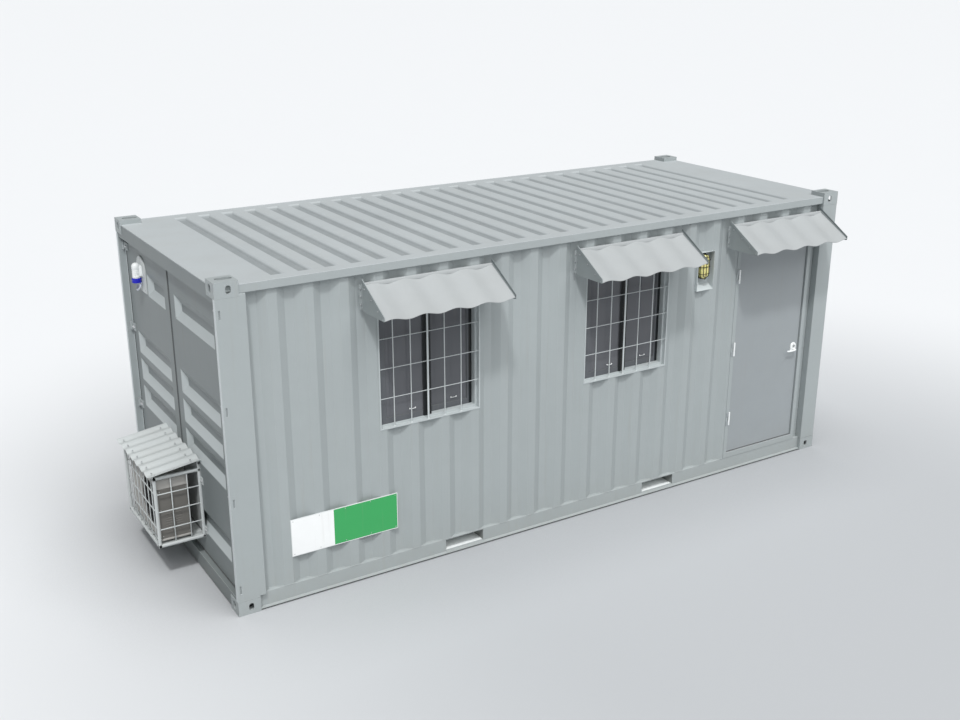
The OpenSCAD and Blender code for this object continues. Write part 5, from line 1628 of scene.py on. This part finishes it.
class CABIN_OT_cooling_cage(Step, bpy.types.Operator):
    """Barred cage with its waved roof, brackets and bolts"""

    bl_idname = "cabin.cooling_cage"
    bl_label = "Cage"

    def build(self):
        dress(["cage_floor"], "cage_paint", 0.001)
        self.bars()
        s = sizes()
        low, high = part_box("cage_roof")
        width = high.y - low.y
        run = high.x - low.x
        rise, thick, fall = 0.009, 0.003, 0.056
        columns, rows = 140, 8
        roof = Piece("cage_roof_sheet", "cage_paint")
        mid = (low.y + high.y) / 2

        def level(i, j, lift):
            y = low.y + width * i / columns
            wave = -rise * math.cos(2 * math.pi * (y - mid) * s.cage_waves / width)
            x = high.x - run * j / rows
            z = high.z - thick - rise + wave - fall * j / rows
            return Vector((x, y, z + lift * thick * 0.5))

        upper, under = ([[level(i, j, lift) for i in range(columns + 1)]
                         for j in range(rows + 1)] for lift in (1, -0.2))
        roof.sheet(upper, under, flip=True)
        for k in range(s.cage_waves + 1):
            y = mid + width * (k - s.cage_waves / 2 + 0.5) / s.cage_waves
            if not low.y + 0.01 < y < high.y - 0.01:
                continue
            for t in (0.16, 0.90):
                roof.bolt((high.x - run * t, y, high.z - thick - fall * t - 0.0005), (0, 0, 1),
                          0.009)
        roof.done(replaces=["cage_roof"], sharp=50.0)
        self.brackets()

    def bars(self):
        """Welded frame of square tubes with round bars through it."""
        s = sizes()
        a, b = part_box("cage_front")
        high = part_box("cage_sides")[1]
        tube = b.x - a.x
        rod = s.cage_bar / 2
        frame_part = Piece("cage_frame", "cage_paint")
        thin = tube * 0.72

        def tube_run(p, q, wide=thin):
            along = (Vector(q) - Vector(p)).normalized()
            side = along.cross(Vector((0, 1, 0)))
            if side.length < 0.5:
                side = Vector((1, 0, 0))
            side.normalize()
            up = side.cross(along).normalized()
            rows = []
            r, c = wide / 2, wide * 0.12
            ring = [(r, r - c), (r - c, r), (c - r, r), (-r, r - c), (-r, c - r), (c - r, -r),
                    (r - c, -r), (r, c - r)]
            for end in (p, q):
                rows.append([Vector(end) + side * m + up * n for m, n in ring])
            frame_part.solid(rows)

        x = a.x + thin / 2
        y0, y1, z0, z1 = a.y + thin / 2, b.y - thin / 2, a.z + thin / 2, b.z - thin / 2
        far = high.x - thin / 2
        for z in (z0, z1):
            tube_run((x, a.y, z), (x, b.y, z))
            for y in (y0, y1):
                tube_run((x, y, z), (high.x, y, z))
        for y in (y0, y1):
            tube_run((x, y, a.z), (x, y, b.z + 0.018))
            tube_run((far, y, a.z), (far, y, high.z - 0.010))
        tube_run((far, a.y, high.z - 0.022), (far, b.y, high.z - 0.022), thin * 0.8)
        tube_run((x, a.y, b.z + 0.006), (x, b.y, b.z + 0.006), thin * 0.6)
        for k in range(1, s.cage_uprights + 1):
            y = a.y + (b.y - a.y) * k / (s.cage_uprights + 1)
            frame_part.rod((x, y, z0), (x, y, z1), rod, sides=10)
        for k in range(1, s.cage_rows + 1):
            z = a.z + (b.z - a.z) * k / (s.cage_rows + 1)
            frame_part.rod((x, y0, z), (x, y1, z), rod, sides=10)
            for y in (y0, y1):
                frame_part.rod((x, y, z), (far, y, z), rod, sides=10)
        for y in (y0, y1):
            for t in (0.36, 0.72):
                across = x + (far - x) * t
                frame_part.rod((across, y, z0), (across, y, z1), rod, sides=10)
        frame_part.done(replaces=["cage_front", "cage_sides"], sharp=50.0)

    def brackets(self):
        """Wall brackets, floor ribs with their welds, and a pale sheet behind the unit, added as
        painted light where the leaf lies in shade.
        """
        s = sizes()
        low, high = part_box("cage_sides")
        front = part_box("cage_front")
        parts = Piece("cage_brackets", "cage_paint")
        for y0, y1, sign in ((low.y, low.y + CAGE_TUBE, -1), (high.y - CAGE_TUBE, high.y, 1)):
            for z in (front[0].z + 0.07, front[1].z - 0.10):
                edge = y0 if sign < 0 else y1
                parts.block((high.x - 0.005, min(edge, edge + sign * 0.045), z - 0.030),
                            (high.x, max(edge, edge + sign * 0.045), z + 0.030))
                parts.bolt((high.x - 0.005, edge + sign * 0.027, z), (-1, 0, 0), s.bolt)
        a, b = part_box("cage_floor")
        for x in spread(a.x + 0.04, b.x - 0.04, 6):
            parts.block((x - 0.004, a.y + 0.004, a.z - 0.004), (x + 0.004, b.y - 0.004, a.z))
        for y in (a.y + 0.002, b.y - 0.002):
            parts.wire([(a.x, y, b.z + 0.001), (b.x, y, b.z + 0.001)], 0.003, sides=6)
        parts.done(bevel=0.001)
        # painted light: a pale sheet behind the unit stands in for light on the shaded leaf
        sheet = Piece("cage_back_light_sheet", "cage_paint")
        inner, outer, lip = low.y + CAGE_TUBE, high.y - CAGE_TUBE, 0.012
        sheet.prism([(0, inner, 0), (-0.002, inner, 0), (-lip, inner, 0),
                     (-lip, inner + 0.002, 0), (-0.002, inner + 0.002, 0),
                     (-0.002, outer - 0.002, 0), (-lip, outer - 0.002, 0), (-lip, outer, 0),
                     (0, outer, 0)],
                    (high.x - 0.0005, 0, front[0].z + CAGE_TUBE),
                    (0, 0, high.z - front[0].z - 0.10))
        sheet.done()


class CABIN_OT_cooling_unit(Step, bpy.types.Operator):
    """Cooling unit: sheet casing, lid, fan with guard, louvres and feet"""

    bl_idname = "cabin.cooling_unit"
    bl_label = "Cooling unit"

    def build(self):
        low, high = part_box("cooling_unit")
        foot, rim, recess = 0.024, 0.030, 0.060
        radius = FAN_RADIUS
        z0 = low.z + foot
        centre = Vector((low.x, low.y + rim + radius, (z0 + high.z) / 2))
        self.casing(low, high, z0, centre, radius, recess)
        self.fan(centre, radius)
        self.fittings(low, high, z0, centre, radius)

    def casing(self, low, high, z0, centre, radius, recess):
        """Shell with an opening for the fan, a dark recess behind it, lid and base."""
        x0, x1, y0, y1, z1 = low.x + 0.003, high.x - 0.002, low.y + 0.002, high.y - 0.002, high.z
        shell = Piece("unit_shell", "fan_black")
        lid, base = 0.085, 0.020
        count = 64
        front, hole, cove, back = [], [], [], []
        for turn in turns(count):
            c, s = math.cos(turn), math.sin(turn)
            reach = min((y1 - centre.y) / c if c > 1e-6 else (y0 - centre.y) / c if c < -1e-6
                        else 9.0,
                        (z1 - lid - centre.z) / s if s > 1e-6
                        else (z0 + base - centre.z) / s if s < -1e-6 else 9.0)
            front.append((x0, centre.y + reach * c, centre.z + reach * s))
            hole.append((x0, centre.y + radius * c, centre.z + radius * s))
            cove.append((x0 + 0.012, centre.y + (radius - 0.008) * c,
                         centre.z + (radius - 0.008) * s))
            back.append((x0 + recess, centre.y + (radius - 0.014) * c,
                         centre.z + (radius - 0.014) * s))
        shell.faces([front, hole, cove], "unit_lid")
        made = shell.faces([cove, back])
        shell.cap(made[-1])
        for low_corner, high_corner in (
            ((x0, y0, z0 + base), (x1, y0 + 0.0015, z1 - lid)),
            ((x0, y1 - 0.0015, z0 + base), (x1, y1, z1 - lid)),
            ((x1 - 0.0015, y0, z0 + base), (x1, y1, z1 - lid))):
            shell.block(low_corner, high_corner, "unit_casing")
        for corner_y, corner_z in ((y0, z0 + base), (y0, z1 - lid), (y1, z0 + base),
                                   (y1, z1 - lid)):
            shell.block((x0, min(corner_y, centre.y) if corner_y == y0 else corner_y - 0.001,
                         corner_z - 0.0005),
                        (x0 + 0.001, corner_y + 0.001 if corner_y == y0 else corner_y,
                         corner_z + 0.0005), "unit_casing")
        shell.done(replaces=["cooling_unit"], sharp=35.0)
        caps = Piece("unit_lid_and_base", "unit_lid")
        caps.block((low.x, low.y, z1 - lid), (high.x, high.y, z1 - 0.001))
        caps.block((low.x, low.y, z0), (high.x, high.y, z0 + base))
        third = (high.y - low.y) / 3
        mid = (low.y + high.y) / 2
        for side in (-1, 1):
            y = mid + side * third
            caps.block((low.x + 0.004, y - 0.025, low.z), (high.x - 0.004, y + 0.025, z0),
                       "underframe_paint")
        caps.done(bevel=0.006, segments=3)

    def fan(self, centre, radius):
        """Twisted blades on a hub, and a ringed wire guard."""
        s = sizes()
        blades = Piece("unit_fan", "fan_black")
        hub = centre + Vector((0.030, 0, 0))
        blades.turned(hub + Vector((0.018, 0, 0)), (-1, 0, 0),
                      [(0.045, 0), (0.045, 0.014), (0.038, 0.022), (0.018, 0.026),
                       (0.004, 0.027)], sides=36)
        for k in range(s.fan_blades):
            start = 2 * math.pi * k / s.fan_blades
            upper, under = [], []
            for i in range(9):
                r = 0.040 + (radius - 0.062) * i / 8
                row_a, row_b = [], []
                for j in range(9):
                    q = (j / 8 - 0.5)
                    wide = 0.95 - 0.25 * i / 8
                    turn = start + q * wide + 0.35 * (i / 8) ** 2
                    x = -q * 0.034 + 0.004 * math.cos(math.pi * q)
                    row_a.append(hub + Vector((x, r * math.cos(turn), r * math.sin(turn))))
                    row_b.append(row_a[-1] + Vector((0.0022, 0, 0)))
                upper.append(row_a)
                under.append(row_b)
            loops = [a + list(reversed(b)) for a, b in zip(upper, under)]
            blades.solid(loops)
        blades.done(sharp=50.0)
        guard = Piece("unit_fan_guard", "fan_black")
        face = centre.x - 0.001
        for k in range(s.guard_rings):
            r = 0.034 + (radius + 0.004 - 0.034) * k / (s.guard_rings - 1)
            x = face + 0.003 + 0.010 * (r / radius) ** 3 * 0.2
            guard.wire([(x, centre.y + r * math.cos(t), centre.z + r * math.sin(t))
                        for t in turns(56)], 0.0014, sides=6, closed=True)
        for turn in turns(12):
            c, d = math.cos(turn), math.sin(turn)
            guard.wire([(face + 0.006, centre.y + 0.030 * c, centre.z + 0.030 * d),
                        (face + 0.006, centre.y + (radius + 0.006) * c,
                         centre.z + (radius + 0.006) * d)], 0.0018, sides=6)
        guard.turned((face + 0.007, centre.y, centre.z), (-1, 0, 0),
                     [(0.034, 0), (0.034, 0.003), (0.028, 0.006), (0.006, 0.007)])
        guard.done()

    def fittings(self, low, high, z0, centre, radius):
        """Front louvres, ribs and slots on the sides, and screws."""
        parts = Piece("unit_fittings", "unit_casing")
        y0, y1 = centre.y + radius + 0.055, high.y - 0.040
        x = low.x + 0.003
        for k in range(15):
            z = z0 + 0.075 + 0.026 * k
            parts.prism([(0, 0, 0), (-0.0025, 0, 0.003), (-0.0025, 0, 0.011), (0, 0, 0.014)],
                        (x, y0, z), (0, y1 - y0, 0), "unit_lid")
        for y, sign in ((low.y + 0.002, -1), (high.y - 0.002, 1)):
            top = high.z - 0.140
            grip = [(0, 0, 0), (0, sign * 0.0018, 0.004), (0, sign * 0.0018, 0.046), (0, 0, 0.050)]
            parts.prism(grip, (low.x + 0.020, y, top - 0.030), (high.x - low.x - 0.040, 0, 0))
            for px in (low.x + 0.018, high.x - 0.018):
                for pz in (z0 + 0.040, (z0 + high.z) / 2, high.z - 0.105):
                    parts.rivet((px, y - sign * 0.0003, pz), (0, sign, 0), 0.008)
            for k in range(9):
                z = z0 + 0.060 + 0.020 * k
                parts.prism([(0, 0, 0), (0, sign * 0.0018, 0.003), (0, sign * 0.0018, 0.008),
                             (0, 0, 0.011)], (low.x + 0.050, y, z), (0.130, 0, 0))
        parts.done()


# ---- stage -----------------------------------------------------------------


class CABIN_OT_stage(Step, bpy.types.Operator):
    """Pale studio floor with painted shade around the cabin, soft lights and the camera"""

    bl_idname = "cabin.stage"
    bl_label = "Studio"

    def build(self):
        scene = bpy.context.scene
        stage = scene.cabin_stage
        scene.view_settings.view_transform = "Standard"
        scene.view_settings.look = "None"
        self.floor(stage)
        world = bpy.data.worlds.new("Studio")
        scene.world = world
        world.use_nodes = True
        tree = world.node_tree
        tree.nodes.clear()
        seen = put(tree, "LightPath").outputs["Is Camera Ray"]
        strength = put(tree, "MapRange", {"Value": seen, "To Min": stage.sky,
                                          "To Max": stage.backdrop})
        sky = put(tree, "Background", {"Color": (0.97, 0.985, 1.0),
                                       "Strength": strength.outputs[0]})
        made = put(tree, "OutputWorld")
        tree.links.new(sky.outputs[0], made.inputs["Surface"])
        self.light("Key light", stage.key, KEY_SOFTNESS, KEY_AIM)
        self.light("Fill light", stage.fill, FILL_SOFTNESS, FILL_AIM)
        camera = bpy.data.objects.new("Camera", bpy.data.cameras.new("Camera"))
        camera.data.lens = stage.lens
        camera.data.sensor_width = 36
        camera.data.clip_end = 600
        scene.collection.objects.link(camera)
        camera.location = stage.camera
        camera.rotation_euler = Vector(stage.aim).to_track_quat("-Z", "Y").to_euler()
        scene.camera = camera

    def light(self, name, strength, softness, aim):
        """A parallel light of the given softness in degrees."""
        made = bpy.data.lights.new(name, "SUN")
        made.energy = strength
        made.angle = math.radians(softness)
        lamp = bpy.data.objects.new(name, made)
        bpy.context.scene.collection.objects.link(lamp)
        lamp.location = (0, 0, 8)
        lamp.rotation_euler = aim.to_track_quat("-Z", "Y").to_euler()

    def floor(self, stage):
        """Wide round floor with painted shade: darker near the cabin and paler with distance, and
        darker still where an occlusion node finds the cabin close.
        """
        mesh = bmesh.new()
        bmesh.ops.create_circle(mesh, cap_ends=True, radius=FLOOR_RADIUS, segments=96)
        data = bpy.data.meshes.new("Floor")
        mesh.to_mesh(data)
        mesh.free()
        floor = bpy.data.objects.new("Floor", data)
        bpy.context.scene.collection.objects.link(floor)
        made, tree, shader = blank_material("Studio floor")
        place = own_coordinates(tree)
        moved = put(tree, "VectorMath", {0: place, 1: FLOOR_OFFSET},
                    operation="ADD").outputs["Vector"]
        flat = stretched(tree, moved, 1.25, 1.0, 0.0)
        away = put(tree, "VectorMath", {0: flat}, operation="LENGTH").outputs["Value"]
        # painted shade: the floor colour darkens toward the cabin
        fade = span(tree, away, *FLOOR_FADE)
        shade = blend_colours(tree, fade, stage.floor_near_shade, stage.floor_far)
        # painted contact shadow: the occlusion node darkens the floor colour near the cabin
        occlusion_shade = put(tree, "AmbientOcclusion", {"Distance": 1.2}, samples=4)
        near = span(tree, occlusion_shade.outputs["AO"], 0.50, 1.0, 0.74, 1.0)
        feed(tree, shader, {"Base Color": blend_colours(tree, 1.0, shade, near, "MULTIPLY"),
                            "Roughness": span(tree, noise(tree, place, 0.8), 0.0, 1.0, 0.75, 0.85),
                            "Specular IOR Level": 0.1})
        data.materials.append(made)


# ---- panel and registration ------------------------------------------------


OPERATORS = (
    CABIN_OT_stage, CABIN_OT_steelwork, CABIN_OT_walls, CABIN_OT_roof, CABIN_OT_interior,
    CABIN_OT_cargo_doors, CABIN_OT_windows, CABIN_OT_awnings, CABIN_OT_light_and_sign,
    CABIN_OT_personnel_door, CABIN_OT_power_inlet, CABIN_OT_cooling_cage,
    CABIN_OT_cooling_unit,
)
SETTINGS = {
    "cabin_colours": CabinColours, "cabin_surface": CabinSurface,
    "cabin_sizes": CabinSizes, "cabin_stage": CabinStage,
}


class CABIN_PT_looks(bpy.types.Panel):
    """Settings and build steps of the cabin"""

    bl_idname = "CABIN_PT_looks"
    bl_label = "Container Cabin"
    bl_space_type = "VIEW_3D"
    bl_region_type = "UI"
    bl_category = "Cabin"

    def draw(self, context):
        for name in SETTINGS:
            box = self.layout.box()
            values = getattr(context.scene, name)
            for key in values.__annotations__:
                box.prop(values, key)
        for operator in OPERATORS:
            self.layout.operator(operator.bl_idname)


def register():
    for name, settings in SETTINGS.items():
        bpy.utils.register_class(settings)
        setattr(bpy.types.Scene, name, PointerProperty(type=settings))
    for made in OPERATORS + (CABIN_PT_looks,):
        bpy.utils.register_class(made)


def unregister():
    for made in reversed(OPERATORS + (CABIN_PT_looks,)):
        bpy.utils.unregister_class(made)
    for name, settings in reversed(SETTINGS.items()):
        delattr(bpy.types.Scene, name)
        bpy.utils.unregister_class(settings)


def main():
    """Registers the add-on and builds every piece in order."""
    register()
    for operator in OPERATORS:
        getattr(bpy.ops.cabin, operator.bl_idname.split(".")[1])()
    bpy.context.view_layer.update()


if __name__ == "__main__":
    main()
